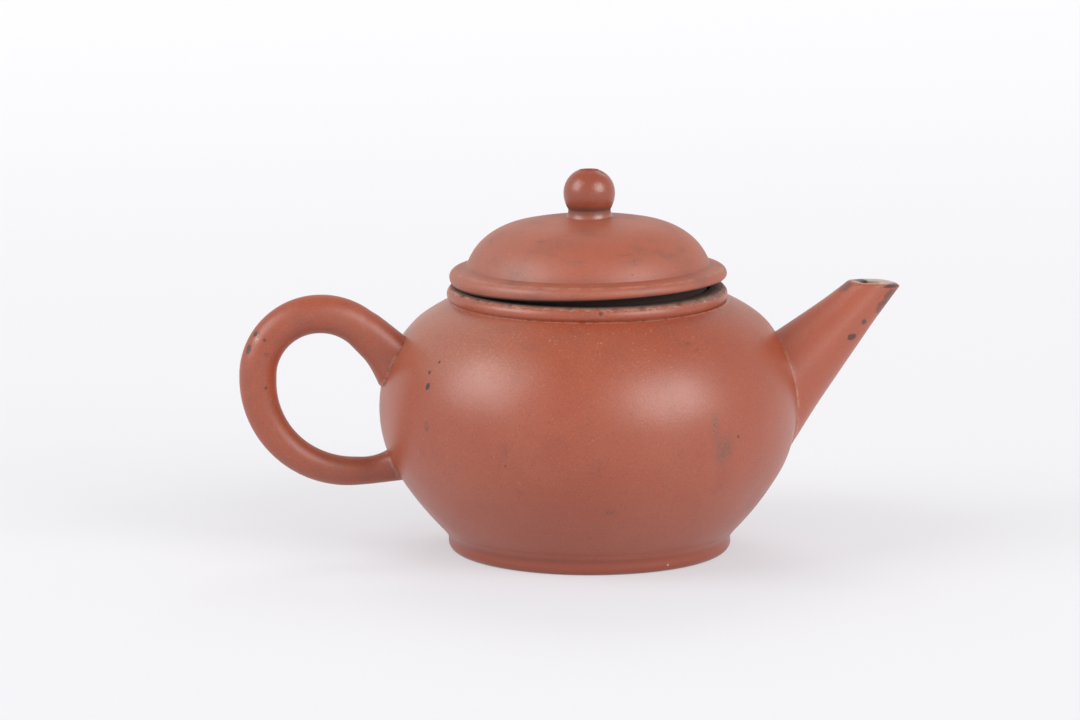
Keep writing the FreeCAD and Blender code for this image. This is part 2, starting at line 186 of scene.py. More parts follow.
def trace(name, outline):
    """A new object in edit mode, whose mesh is a line through the outline's points, in the XZ plane."""
    select_none()
    bpy.ops.mesh.primitive_plane_add(size=MM)
    piece = bpy.context.active_object
    piece.name = name
    piece.data.name = name
    bpy.ops.object.mode_set(mode="EDIT")
    bpy.ops.mesh.select_mode(type="VERT")
    bpy.ops.mesh.select_all(action="SELECT")
    bpy.ops.mesh.merge(type="CENTER")
    bpy.ops.transform.translate(value=(outline[0][0] * MM, 0, outline[0][1] * MM))
    for (x0, z0), (x1, z1) in zip(outline, outline[1:]):
        move = {"value": ((x1 - x0) * MM, 0, (z1 - z0) * MM)}
        bpy.ops.mesh.extrude_region_move(TRANSFORM_OT_translate=move)
    return piece


def close_up():
    """Merge the doubles of the mesh in edit mode, turn its faces outwards and leave edit mode."""
    bpy.ops.mesh.select_all(action="SELECT")
    bpy.ops.mesh.remove_doubles(threshold=MERGE_WITHIN * MM)
    bpy.ops.mesh.normals_make_consistent(inside=False)
    bpy.ops.object.mode_set(mode="OBJECT")


def turn(name, outline, around=AROUND):
    """Spin a closed outline into a solid ring or disc."""
    piece = trace(name, outline)
    bpy.ops.mesh.select_all(action="SELECT")
    bpy.ops.mesh.spin(steps=around, angle=math.tau, center=(0, 0, 0), axis=(0, 0, 1))
    close_up()
    print(name, "turned,", len(piece.data.vertices), "points")
    return piece


# %% Read and move a piece's points, and store values on them


def points_of(piece):
    """The piece's vertices as an array, in millimetres."""
    flat = np.empty(len(piece.data.vertices) * 3)
    piece.data.vertices.foreach_get("co", flat)
    return flat.reshape(-1, 3) / MM


def set_points(piece, points):
    piece.data.vertices.foreach_set("co", (points * MM).ravel())
    piece.data.update()


def keep(piece, name, values):
    """Store one value per vertex, for the clay to read."""
    layer = piece.data.attributes.new(name, "FLOAT", "POINT")
    layer.data.foreach_set("value", np.asarray(values, np.float32))


# %% [markdown]
# ## The potter's hand
# A beaten wall is round, but not perfectly: it has slow swellings and faint flats from the paddle. One smooth
# field moves the points of every piece of the pot, so neighbours that share a joint still meet. The pot is a
# little lopsided too: its foot sits to the right, its sides are flatter in places, and the shoulder has
# slumped at the left and risen at the right. The mouth stays true, so that the lid's flange fits it.

# %% Slow swellings shared by all the pot's pieces
SWELL = 0.12
SWELL_REACH = 14.0
# Lobes round the pot, climb per millimetre of level, phase and strength of each slow wave.
SWELL_WAVES = ((2, 0.0, 0.7, 0.9), (3, 0.05, -1.1, 0.6), (5, 0.16, 0.0, 0.35), (7, -0.23, 2.0, 0.25))
FOOT_SHIFT = 0.55
FOOT_SHIFT_TOP = 13.0
LEFT_FLAT = 0.32
RIGHT_FLAT = 0.38
RIGHT_FLAT_LEVEL, RIGHT_FLAT_REACH = 22.5, 6.0
SLUMP = 1.6
SLUMP_LEVEL, SLUMP_REACH = 47.3, 2.7
SHRUG = 0.75
SHRUG_LEVEL, SHRUG_REACH = 44.0, 3.5
MOUTH_HOLD = 0.2
MOUTH_EASE = 2.2


def unit(values):
    """Values held between 0 and 1."""
    return np.clip(values, 0, 1)


def bump_at(values, middle, reach):
    """1 at the middle, falling off softly within a reach on both sides."""
    return np.exp(-((values - middle) / reach) ** 2)


def wavy(angle, level, waves):
    """A sum of slow waves, each with its lobes round the axis, climb per level, phase and strength."""
    return sum(strength * np.sin(lobes * angle + climb * level + phase)
               for lobes, climb, phase, strength in waves)


def hand_swell(points, flat=1.0, slump=1.0):
    """Move points by the slow field, with shares of the flat sides and of the slumped shoulder."""
    x, y, z = points.T
    angle = np.arctan2(y, x)
    radius = np.hypot(x, y)
    swell = SWELL * wavy(angle, z, SWELL_WAVES)
    fade = unit(radius / belly_radius) * unit(1 - (radius - belly_radius) / SWELL_REACH)
    left, right = unit(-np.cos(angle)) ** 2, unit(np.cos(angle)) ** 2
    left_flat = flat * LEFT_FLAT * unit((z - foot_height) / FOOT_SHIFT_TOP)
    left_slump = slump * SLUMP * bump_at(z, SLUMP_LEVEL, SLUMP_REACH)
    right_flat = flat * RIGHT_FLAT * bump_at(z, RIGHT_FLAT_LEVEL, RIGHT_FLAT_REACH)
    right_shrug = slump * SHRUG * bump_at(z, SHRUG_LEVEL, SHRUG_REACH)
    lean = left * np.maximum(left_flat, left_slump) + right * (right_shrug - right_flat)
    off_mouth = unit((radius - mouth_radius - MOUTH_HOLD) / MOUTH_EASE)
    shift = FOOT_SHIFT * unit(1 - z / FOOT_SHIFT_TOP) + lean * off_mouth
    out = points.copy()
    out[:, 0] += (np.cos(angle) * swell + shift) * fade
    out[:, 1] += np.sin(angle) * swell * fade
    return out


def shape_by_hand(piece):
    set_points(piece, hand_swell(points_of(piece)))


# %% [markdown]
# ## Base, wall and shoulder
# The pot's skin is three pieces of clay: a disc for the floor, a beaten wall, and a domed disc pierced for
# the mouth. Each is turned from its own closed section, and the outer lines run on without a step. The wall
# stands for two solids, which meet at its widest line.

# %% Base disc
base_outline = [(0.0, foot_height)] + run((0.0, foot_height), (foot_seam_radius, foot_height), 10)
base_outline += wall_line(foot_height, floor_level, count=10)[1:]
base_outline += run(base_outline[-1], (0.0, floor_level), 14)
base_disc = turn("base_disc_clay", base_outline)
shape_by_hand(base_disc)

# %% Belly wall
outer_wall = wall_line(floor_level, shoulder_seam_level, count=80)
inner_wall = wall_line(floor_level, shoulder_seam_level, clay_wall, count=50)[::-1]
belly_wall = turn("belly_wall_clay", outer_wall + inner_wall + [outer_wall[0]])

# %% [markdown]
# The tea leaves by one round outlet behind the spout, cut along the spout's own axis. A rod is taken out of
# the wall with a Boolean, the way a hollow punch takes out a plug of clay.

# %% Punch the outlet
spout_out = 15.05
lip_above_collar = 1.65
spout_pitch = math.radians(44.6)
outlet_radius = 3.2
punch_length = 16.0
punch_middle = 24.0
PUNCH_AROUND = 64
spout_axis = Vector((math.cos(spout_pitch), 0, math.sin(spout_pitch)))
spout_tip = Vector((belly_radius + spout_out, 0, collar_level + lip_above_collar))
spout_turn = Vector((0, 0, 1)).rotation_difference(spout_axis).to_matrix().to_4x4()
spout_matrix = Matrix.Translation(spout_tip * MM) @ spout_turn


def cut_away(piece, tool):
    """Take one mesh out of another and throw the tool away."""
    pick(piece)
    cut = piece.modifiers.new("cut", "BOOLEAN")
    cut.operation = "DIFFERENCE"
    cut.solver = "EXACT"
    cut.object = tool
    bpy.ops.object.modifier_apply(modifier=cut.name)
    bpy.data.objects.remove(tool)


select_none()
bpy.ops.mesh.primitive_cylinder_add(
    vertices=PUNCH_AROUND, radius=outlet_radius * MM, depth=punch_length * MM,
    location=(0, 0, -punch_middle * MM))
punch = bpy.context.active_object
bpy.ops.object.transform_apply(location=True, rotation=True, scale=True)
punch.data.transform(spout_matrix)
cut_away(belly_wall, punch)
shape_by_hand(belly_wall)
print("outlet", 2 * outlet_radius, "mm wide")

# %% Shoulder disc
shoulder_outer = wall_line(shoulder_seam_level, collar_level, count=30)
mouth_in = mouth_radius - belly_centre
mouth_level = belly_level + math.sqrt((belly_bend - clay_wall) ** 2 - mouth_in ** 2)
shoulder_inner = wall_line(shoulder_seam_level, mouth_level, clay_wall, count=24)[::-1]
shoulder_outline = shoulder_outer + [(mouth_radius, collar_level)] + shoulder_inner + [shoulder_outer[0]]
shoulder_disc = turn("shoulder_disc_clay", shoulder_outline)
shape_by_hand(shoulder_disc)

# %% [markdown]
# ## Foot ring and mouth collar
# Both are coils of clay, rolled, laid on with slip and smoothed with a wet cloth. The foot runs into the
# belly with a small cove. The collar takes the knocks, so its upper edge is nicked here and there, and its
# right side is pared a little. A short skirt of it is pressed into the shoulder, and shows where the shoulder
# has slumped. Two beating waves place the nicks, which look scattered and still come out the same each time.

# %% Foot ring
foot_radius = 26.85
foot_rest_radius = 25.4
foot_bore = 21.3
foot_swell_level = 1.4
foot_lean = (foot_radius, 2.2)
cove_level = 4.3
cove_lean = (foot_seam_radius - 0.15, 2.7)
cove_proud = 0.02
foot_outline = [(foot_bore, 0.0)] + run((foot_bore, 0.0), (foot_rest_radius, 0.0), 4)
foot_outline += arc((foot_rest_radius, 0.0), (foot_radius, foot_swell_level), foot_swell_level)
cove_top = (float(belly_at(cove_level)) + cove_proud, cove_level)
foot_outline += bow((foot_radius, foot_swell_level), foot_lean, cove_lean, cove_top)
foot_outline += [(foot_seam_radius, cove_level), (foot_bore, foot_height), (foot_bore, 0.0)]
foot_ring = turn("foot_ring_clay", foot_outline)
shape_by_hand(foot_ring)

# %% Mouth collar
collar_radius = 26.9
collar_edge_radius = 25.9
collar_swell_level = 49.1
skirt_level = collar_level - 1.1
skirt_bore = mouth_radius + 0.5
skirt_radius = collar_seam_radius - 0.1
COLLAR_AROUND = 512
collar_outline = [(mouth_radius, collar_level), (skirt_bore, collar_level), (skirt_bore, skirt_level)]
collar_outline += [(skirt_radius, skirt_level), (collar_seam_radius, collar_level)]
collar_outline += arc(collar_outline[-1], (collar_radius, collar_swell_level), collar_swell_level, 10)
collar_outline += arc(collar_outline[-1], (collar_edge_radius, collar_top), collar_swell_level, 16)
collar_outline += run(collar_outline[-1], (mouth_radius, collar_top), 14)
collar_outline += run((mouth_radius, collar_top), (mouth_radius, collar_level), 4)
mouth_collar = turn("mouth_collar_clay", collar_outline, around=COLLAR_AROUND)

# %% Nick its edge and pare its right side
NICK_DEPTH = 0.24
NICK_REACH = 0.6
NICK_START = 0.25
# Count and phase of a quick wave, count and phase of a slow one, and the strength of their beat.
NICK_BEATS = ((41, 0.4, 17, 1.7, 1.0), (67, 0.0, 29, 0.9, 0.6))
COLLAR_PARE = 0.65


def knock(points):
    """Nick the collar's upper edge, where two waves beat, and pare its outside at the right."""
    x, y, z = points.T
    angle = np.arctan2(y, x)
    radius = np.hypot(x, y)
    beats = sum(strength * np.sin(quick * angle + quick_phase) * np.sin(slow * angle + slow_phase)
                for quick, quick_phase, slow, slow_phase, strength in NICK_BEATS)
    from_edge = np.hypot(radius - collar_edge_radius, z - collar_top)
    nick = NICK_DEPTH * np.clip(beats - NICK_START, 0, None) * bump_at(from_edge, 0.0, NICK_REACH)
    outer_share = unit((radius - mouth_radius) / (collar_radius - mouth_radius))
    pared = COLLAR_PARE * unit(np.cos(angle)) ** 2 * outer_share
    return points - np.stack([np.cos(angle) * nick + pared, np.sin(angle) * nick, nick], 1)


set_points(mouth_collar, hand_swell(knock(points_of(mouth_collar)), flat=0, slump=0))

# %% [markdown]
# ## Spout
# The spout is a tapering tube rolled round a stick. It starts as a straight sleeve, one unit long, spun
# like the other pieces. Each of its points is then carried along the taper, between the belly and the
# sloping lip, so the root fits the belly all round, with a thin bead of slip pressed into the joint. This
# keeps the sleeve's even rings right up to the root, where a Boolean would cut through them.

# %% A straight sleeve
spout_length = 24.2
spout_tip_radius, spout_root_radius = 3.8, 8.45
tip_bore, root_bore = 2.2, 5.8
spout_flare = (spout_root_radius - spout_tip_radius) / spout_length
bore_flare = (root_bore - tip_bore) / spout_length
lip_slope = math.radians(7.6)
SLEEVE_STEPS = 72
SLEEVE_AROUND = 144
LIP_STEPS = 9
OUTSIDE, INSIDE = 2.0, 1.0

sleeve_outline = [(OUTSIDE, step / SLEEVE_STEPS) for step in range(SLEEVE_STEPS + 1)]
sleeve_outline += [(OUTSIDE - step / (LIP_STEPS + 1), 1.0) for step in range(1, LIP_STEPS + 1)]
sleeve_outline += [(INSIDE, 1.0 - step / SLEEVE_STEPS) for step in range(SLEEVE_STEPS + 1)]
sleeve_outline += [sleeve_outline[0]]
spout = turn("spout_clay", sleeve_outline, around=SLEEVE_AROUND)
sleeve = points_of(spout)
around = np.arctan2(sleeve[:, 1], sleeve[:, 0])
along = sleeve[:, 2]
depth = unit(np.hypot(sleeve[:, 0], sleeve[:, 1]) - INSIDE)
axis = np.array(spout_axis)
side = np.array([0.0, 1.0, 0.0])
tip = np.array(spout_tip)
lip_normal = np.array([math.sin(lip_slope), 0.0, math.cos(lip_slope)])
ray = np.cos(around)[:, None] * np.cross(axis, side) + np.sin(around)[:, None] * side

# %% Where its lines meet the belly and the lip
NEAREST_ROOT, FARTHEST_ROOT = 5.0, 45.0
HALVINGS = 40
LIP_ROUNDS = 20


def spout_point(back, radius):
    """A point of the spout, a distance back from the lip's middle and a radius off the axis."""
    return tip - back[:, None] * axis + radius[:, None] * ray


def outer_radius(back):
    return spout_tip_radius + spout_flare * back


def bore_radius(back):
    return tip_bore + bore_flare * back


def meets_belly(radius_at):
    """How far back from the lip each line along the spout runs before it meets the belly."""
    near = np.full(len(around), NEAREST_ROOT)
    far = np.full(len(around), FARTHEST_ROOT)
    for _ in range(HALVINGS):
        middle = (near + far) / 2
        spot = spout_point(middle, radius_at(middle))
        outside = np.hypot(spot[:, 0], spot[:, 1]) > belly_at(np.minimum(spot[:, 2], collar_level))
        near = np.where(outside, middle, near)
        far = np.where(outside, far, middle)
    return (near + far) / 2


def meets_lip(radius_at):
    """How far back from the lip's middle each line is cut by the sloping lip."""
    back = np.zeros(len(around))
    for _ in range(LIP_ROUNDS):
        spot = spout_point(back, radius_at(back))
        back = back + (spot - tip) @ lip_normal / (axis @ lip_normal)
    return back


# %% Draw out the outside, from its root in the belly to the lip
slip_width, slip_length = 0.12, 0.8
root_swell, root_swell_reach = 0.35, 6.0
upper_sink, lower_sink = 0.4, 1.8
upper_trim, lower_trim = 0.36, 0.20
tip_spread = 0.55
lip_reach = 9.0
root_crowding = 0.8
on_top, beneath = unit(np.cos(around)), unit(-np.cos(around))
root_back = meets_belly(lambda back: outer_radius(back) + slip_width)
lip_back = meets_lip(outer_radius)
root_end = root_back + upper_sink + (lower_sink - upper_sink) * beneath
outer_back = root_end + (lip_back - root_end) * along ** root_crowding
from_root = root_back - outer_back
near_lip = unit(1 - (outer_back - lip_back) / lip_reach) ** 2
slip = slip_width * unit(1 - from_root / slip_length) ** 2
slip = slip + root_swell * beneath * bump_at(from_root, 0.0, root_swell_reach)
spread = tip_spread * beneath * near_lip
trim = (upper_trim * on_top + lower_trim * beneath) * (1 - near_lip)
outer_spot = spout_point(outer_back, outer_radius(outer_back) + slip + spread - trim)
print("spout root up to", round(float(root_back.max()), 1), "mm from the lip")

# %% Draw out the bore, round the lip and lift its front
lip_round = 0.3
lip_lift = 0.75
lip_side_lift = 0.05
joint_width = 0.7
AT_LIP = 0.999
HALF_DEPTH = 0.5
bore_root = meets_belly(bore_radius)
bore_back = bore_root + (meets_lip(bore_radius) - bore_root) * along
bore_spot = spout_point(bore_back, bore_radius(bore_back))
spout_points = bore_spot + (outer_spot - bore_spot) * depth[:, None]
rounding = lip_round * np.sqrt(unit(1 - (2 * depth - 1) ** 2))
spout_points += np.where(along > AT_LIP, rounding, 0)[:, None] * lip_normal
ahead = np.clip((spout_points[:, 0] - tip[0]) / spout_tip_radius, -1, 1) / 2 + 0.5
toward_view = unit(-spout_points[:, 1] / spout_tip_radius)
spout_points[:, 2] += (lip_lift * ahead + lip_side_lift * toward_view) * near_lip
set_points(spout, hand_swell(spout_points, flat=0, slump=0))
keep(spout, "joint", np.where(depth > HALF_DEPTH, bump_at(from_root, 0.0, joint_width), 0))
keep(spout, "inside", 1 - depth)
print("spout lip", round(float(spout_points[:, 2].max()), 1), "mm high")

# %% [markdown]
# ## Handle
# The handle is a rod of clay, rolled thinner at one end and bent like an ear. A curve gives the rod. Its
# bevel is half a millimetre deep, so the radius of each point is the rod's whole thickness there. The curve
# is made a mesh, flared where the slip was worked into the joints, and trimmed to the belly by taking the
# pot's outer form out of it.

# %% The rod's path and its thickness
handle_out = 22.8
handle_back = -(belly_radius + handle_out)
handle_level = 33.8
crown_bend = 11.7
lower_arc_bend = 17.75
back_run = 0.9
handle_pitch = math.radians(47.0)
root_run = 13.4
tail_run = 18.2
tail_rise = 2.16
root_thick, crown_thick, back_thick, lower_thick, tail_thick = 7.5, 7.3, 7.05, 5.45, 3.9
RUN_STEPS = 24
BEND_STEPS = 60
QUARTER = math.pi / 2


def blend(first, last, share):
    return first + (last - first) * share


def rod_path():
    """(x, level, thickness) along the rod, from its upper root to its lower one."""
    path = []
    crown_x, crown_level = handle_back + crown_bend, handle_level + back_run / 2
    lower_x, lower_level = handle_back + lower_arc_bend, handle_level - back_run / 2
    end_x = crown_x + crown_bend * math.sin(handle_pitch)
    end_level = crown_level + crown_bend * math.cos(handle_pitch)
    root_share = root_run / (root_run + crown_bend * handle_pitch)
    for step in range(RUN_STEPS):
        left = (1 - step / RUN_STEPS) * root_run
        level = end_level - left * math.sin(handle_pitch)
        thick = blend(root_thick, crown_thick, root_share * step / RUN_STEPS)
        path.append((end_x + left * math.cos(handle_pitch), level, thick))
    for step in range(BEND_STEPS + 1):
        bend = handle_pitch - (handle_pitch + QUARTER) * step / BEND_STEPS
        level = crown_level + crown_bend * math.cos(bend)
        if bend > 0:
            thick = blend(root_thick, crown_thick, blend(1, root_share, bend / handle_pitch))
        else:
            thick = blend(crown_thick, back_thick, -bend / QUARTER)
        path.append((crown_x + crown_bend * math.sin(bend), level, thick))
    for step in range(BEND_STEPS + 1):
        bend = QUARTER * step / BEND_STEPS
        level = lower_level - lower_arc_bend * math.sin(bend)
        thick = blend(back_thick, lower_thick, step / BEND_STEPS)
        path.append((lower_x - lower_arc_bend * math.cos(bend), level, thick))
    for step in range(1, RUN_STEPS + 1):
        share = step / RUN_STEPS
        level = lower_level - lower_arc_bend + tail_rise * share ** 2
        path.append((lower_x + tail_run * share, level, blend(lower_thick, tail_thick, share)))
    return path


stations = rod_path()
print("handle path", len(stations), "stations")

# %% A curve along the path, made a mesh
ROD_ROUND = 14
rod_curve = bpy.data.curves.new("handle_rod", "CURVE")
rod_curve.dimensions = "3D"
rod_curve.bevel_depth = MM / 2
rod_curve.bevel_resolution = ROD_ROUND
rod_curve.use_fill_caps = True
line = rod_curve.splines.new("POLY")
line.points.add(len(stations) - 1)
for point, (x, level, thick) in zip(line.points, stations):
    point.co = (x * MM, 0, level * MM, 1)
    point.radius = thick
handle = bpy.data.objects.new("handle_clay", rod_curve)
bpy.context.scene.collection.objects.link(handle)
pick(handle)
bpy.ops.object.convert(target="MESH")
handle = bpy.context.active_object
bpy.ops.object.mode_set(mode="EDIT")
close_up()
print("handle rod", len(handle.data.vertices), "points")

# %% [markdown]
# The slip worked into the joints flares the rod, most under the upper root and on top of the lower one.
# Small chips along the back of the bow are pressed in as shallow dents.

# %% Slip worked into the joints
upper_slip, under_slip, lower_slip = 1.15, 1.35, 1.35
upper_reach, slip_reach = 11.5, 5.2
upper_wrap, lower_wrap, lower_least = 0.3, 0.4, 0.1
under_taper, lower_taper = 1.6, 2
TINY = 1e-6
rod = points_of(handle)
path = np.array([(x, 0.0, level) for x, level, _ in stations])
nearest = path[np.argmin(((rod[:, None, ::2] - path[None, :, ::2]) ** 2).sum(2), axis=1)]
outward = rod - nearest
outward = outward / np.maximum(np.linalg.norm(outward, axis=1, keepdims=True), TINY)


def off_belly(points):
    """How far points stand off the belly, measured level, and 0 inside it."""
    wall = belly_at(np.clip(points[:, 2], foot_height, collar_level))
    return np.clip(np.hypot(points[:, 0], points[:, 1]) - wall, 0, None)


gap = off_belly(rod)
near_joint = unit(1 - gap / slip_reach)
facing_up = (outward[:, 0] + outward[:, 2]) / math.sqrt(2)
upper_flare = upper_slip * unit(upper_wrap + facing_up) * unit(1 - gap / upper_reach)
upper_flare += under_slip * unit(-facing_up) * near_joint ** under_taper
lower_flare = lower_slip * np.clip(lower_wrap + outward[:, 2], lower_least, 1) * near_joint ** lower_taper
flare = np.where(rod[:, 2] > belly_level, upper_flare, lower_flare)
rod = rod + outward * flare[:, None]
print("slip flares the rod by up to", round(float(flare.max()), 2), "mm")

# %% Chips on the bow, and trimming to the belly
# Centre, reach and depth of each dent.
CHIPS = (
    ((-63.55, -1.8, 42.6), 1.0, 0.20),
    ((-64.8, -2.1, 40.0), 0.9, 0.16),
    ((-61.7, -3.5, 41.7), 0.6, 0.10),
)
handle_joint_width = 0.6
for centre, reach, dent in CHIPS:
    closeness = bump_at(np.linalg.norm(rod - np.array(centre), axis=1), 0.0, reach)
    rod = rod - outward * (closeness * dent)[:, None]
set_points(handle, rod)
form_outline = [(0.0, foot_height)] + wall_line(foot_height, collar_level, count=90) + [(0.0, collar_level)]
cut_away(handle, turn("outer_form", form_outline + [form_outline[0]]))
trimmed = points_of(handle)
keep(handle, "joint", bump_at(off_belly(trimmed), 0.0, handle_joint_width))
set_points(handle, hand_swell(trimmed, slump=0))
print("handle trimmed,", len(trimmed), "points")

# %% [markdown]
# ## Lid
# The lid is modelled upright in its own frame, with level 0 at the underside of its rim, and then tipped by
# the degree that lets it sit a little askew on the collar, and pushed to one side within its play.

# %% Where the lid sits
lid_tilt = math.radians(1.0)
lid_heading = math.radians(-45.0)
lid_play = -0.05
seat_gap = 0.1
rim_radius = 26.25
rim_edge = 25.65
rim_level = 1.5
roll = (25.0, 2.9)
crease = (23.05, 3.45)
flange_radius = 22.5
LID_AROUND = 256
LID_SWELL = 0.09
LID_WAVES = ((2, 0.0, 2.1, 0.6), (3, 0.0, 0.4, 0.4), (5, 0.3, 0.0, 0.25))
FLANK_SWELL = 0.25
FLANK_LEVEL, FLANK_REACH = 8.0, 3.2
heading = Vector((math.cos(lid_heading), math.sin(lid_heading), 0))
lid_axis = Vector((0, 0, 1)).cross(heading)
lid_place = heading * rim_edge * (math.cos(lid_tilt) - 1)
lid_place.x += lid_play
lid_place.z = collar_top + seat_gap + rim_edge * math.sin(lid_tilt)
lid_matrix = Matrix.Translation(lid_place * MM) @ Matrix.Rotation(-lid_tilt, 4, lid_axis)


def seat_lid_piece(piece):
    """Swell a lid piece a little, as the pot's pieces are, and set it on the collar."""
    points = points_of(piece)
    x, y, z = points.T
    angle = np.arctan2(y, x)
    swell = LID_SWELL * wavy(angle, z, LID_WAVES) + FLANK_SWELL * bump_at(z, FLANK_LEVEL, FLANK_REACH)
    swell = swell * unit(np.hypot(x, y) / rim_radius)
    points[:, 0] += np.cos(angle) * swell
    points[:, 1] += np.sin(angle) * swell
    set_points(piece, points)
    piece.data.transform(lid_matrix)


# %% [markdown]
# The rim is a roll that sweeps up through a soft cove into the dome. Its lower edge is worn, most at the
# front right, which is where the gap over the collar is widest.

# %% Rim
wear_heading = math.radians(-40.0)
wear_most = 0.88
roll_reach = rim_radius - roll[0]
roll_rise = roll[1] - rim_level
roll_bend = (roll_reach ** 2 + roll_rise ** 2) / (2 * roll_reach)
cove = (crease[0] - roll[0], crease[1] - roll[1])
roll_lean = ((roll_bend - roll_reach) / roll_bend, roll_rise / roll_bend)
cove_bend = (cove[0] ** 2 + cove[1] ** 2) / (2 * (roll_lean[0] * cove[0] + roll_lean[1] * cove[1]))
cove_centre_level = roll[1] + cove_bend * roll_lean[1]
rim_outline = [(flange_radius, 0.0)] + run((flange_radius, 0.0), (rim_edge, 0.0), 8)
rim_outline += arc((rim_edge, 0.0), (rim_radius, rim_level), rim_level, 14)
rim_outline += arc((rim_radius, rim_level), roll, rim_level, 18)
rim_outline += arc(roll, crease, cove_centre_level, 16)
rim_outline += [(flange_radius, crease[1]), (flange_radius, 0.0)]
lid_rim = turn("lid_rim_clay", rim_outline, around=LID_AROUND)
worn = points_of(lid_rim)
toward_wear = (1 + np.cos(np.arctan2(worn[:, 1], worn[:, 0]) - wear_heading)) / 2
underside = unit(1 - worn[:, 2] / rim_level)
worn[:, 2] += wear_most * toward_wear ** 2 * underside
set_points(lid_rim, worn)
keep(lid_rim, "under", underside)

# %% [markdown]
# The dome is a plate pressed over a form. Its crown is a flat arc and its flank a tight one, and the two
# touch without a corner, as the belly's arcs do. The inner line follows at the wall's thickness.

# %% Dome
dome_bend = 12.95
crown_arc = 67.0
crown_level = 12.8
lid_wall = 2.6
vent_radius = 0.9
knob_foot = 4.35
crown_centre = crown_level - crown_arc
dome_reach = crown_arc - dome_bend
dome_x, dome_up = touching_centre((0.0, crown_centre), crown_arc, crease, dome_bend, side=-1)
dome_level = crown_centre + dome_up


def dome_joint(bend):
    """Where the crown's arc of a given bend runs into the flank's."""
    return dome_x * bend / dome_reach, crown_centre + dome_up * bend / dome_reach


inner_crown = crown_arc - lid_wall
dome_bore = dome_x + math.sqrt((dome_bend - lid_wall) ** 2 - (dome_level - crease[1]) ** 2)
knob_seat = crown_centre + math.sqrt(crown_arc ** 2 - knob_foot ** 2)
vent_inside = crown_centre + math.sqrt(inner_crown ** 2 - vent_radius ** 2)
dome_outline = [(dome_bore, crease[1]), crease]
dome_outline += arc(crease, dome_joint(crown_arc), dome_level, 40)
dome_outline += arc(dome_joint(crown_arc), (knob_foot, knob_seat), crown_centre, 16)
dome_outline += [(vent_radius, knob_seat), (vent_radius, vent_inside)]
dome_outline += arc((vent_radius, vent_inside), dome_joint(inner_crown), crown_centre, 14)
dome_outline += arc(dome_joint(inner_crown), (dome_bore, crease[1]), dome_level, 20)
lid_dome = turn("lid_dome_clay", dome_outline, around=LID_AROUND)

# %% [markdown]
# The flange is a deep ring of clay under the rim. It drops into the mouth with a little play, and keeps the
# lid from sliding off when the pot is tipped. It is hidden at rest, and seen when the lid is lifted.

# %% Flange
flange_bore = 20.3
flange_depth = 6.0
flange_outline = [(flange_bore, -flange_depth), (flange_radius, -flange_depth)]
flange_outline += run((flange_radius, -flange_depth), (flange_radius, crease[1]), 10)
flange_outline += [(flange_bore, crease[1])]
flange_outline += run((flange_bore, crease[1]), (flange_bore, -flange_depth), 10)
lid_flange = turn("lid_flange_clay", flange_outline)

# %% [markdown]
# The knob is a ball on a short neck, luted on a little off the middle, with the vent bored down through it.
# The vent opens in a shallow dish, and one side of the dish's edge has lost a small chip.

# %% Knob
neck = (4.0, 14.1)
knob_radius = 4.87
knob_level = 17.2
knob_flat = (1.9, 21.55)
chip_place = np.array([2.3, -1.0, 21.3])
chip_reach = 1.1
chip_depth = 0.4
dish_depth = 0.3
knob_offset = 0.42
KNOB_AROUND = 128
knob_outline = [(vent_radius, knob_seat), (knob_foot, knob_seat)]
knob_outline += arc((knob_foot, knob_seat), neck, neck[1], 12)
knob_outline += arc(neck, (knob_radius, knob_level), knob_level, 22)
knob_outline += arc((knob_radius, knob_level), knob_flat, knob_level, 32)
vent_mouth = (vent_radius, knob_flat[1] - dish_depth)
knob_outline += arc(knob_flat, vent_mouth, knob_flat[1] + dish_depth, 8)
knob_outline += run(vent_mouth, (vent_radius, knob_seat), 6)
knob = turn("knob_clay", knob_outline, around=KNOB_AROUND)
chipped = points_of(knob)
to_chip = np.linalg.norm(chipped - chip_place, axis=1)
chipped[:, 2] -= chip_depth * bump_at(to_chip, 0.0, chip_reach)
chipped[:, 0] += knob_offset
set_points(knob, chipped)

# %% Set the lid's pieces on the collar
for piece in (lid_rim, lid_dome, lid_flange, knob):
    keep(piece, "lid_radius", np.hypot(*points_of(piece)[:, :2].T))
    keep(piece, "lid_level", points_of(piece)[:, 2])
    seat_lid_piece(piece)
print("lid top", round(float(points_of(knob)[:, 2].max()), 1), "mm")

# %% [markdown]
# ## Standing for the solids
# Every piece rides on the body of the solid that it stands for, so the lid's pieces rise with the lid.

# %% Hand the pieces to their bodies
POT_PIECES = (
    (base_disc, ["base_disc"], "pot_clay"),
    (belly_wall, ["lower_wall", "upper_wall"], "pot_clay"),
    (shoulder_disc, ["shoulder_disc"], "pot_clay"),
    (foot_ring, ["foot_ring"], "pot_clay"),
    (mouth_collar, ["mouth_collar"], "collar_clay"),
    (spout, ["spout"], "spout_clay"),
    (handle, ["handle"], "handle_clay"),
)
LID_PIECES = (
    (lid_dome, ["lid_dome"], "lid_clay"),
    (lid_rim, ["lid_rim"], "lid_clay"),
    (lid_flange, ["lid_flange"], "lid_clay"),
    (knob, ["knob"], "knob_clay"),
)


def hand_over(pieces, body):
    """Shade each piece, let it stand for its solids, and carry it on its body."""
    for piece, nodes, slot in pieces:
        pick(piece)
        bpy.ops.object.shade_smooth_by_angle(angle=SMOOTH_ANGLE)
        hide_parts(*nodes)
        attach(piece, body)
        print(piece.name, "stands for", ", ".join(nodes))


hand_over(POT_PIECES, "pot")
hand_over(LID_PIECES, "lid")

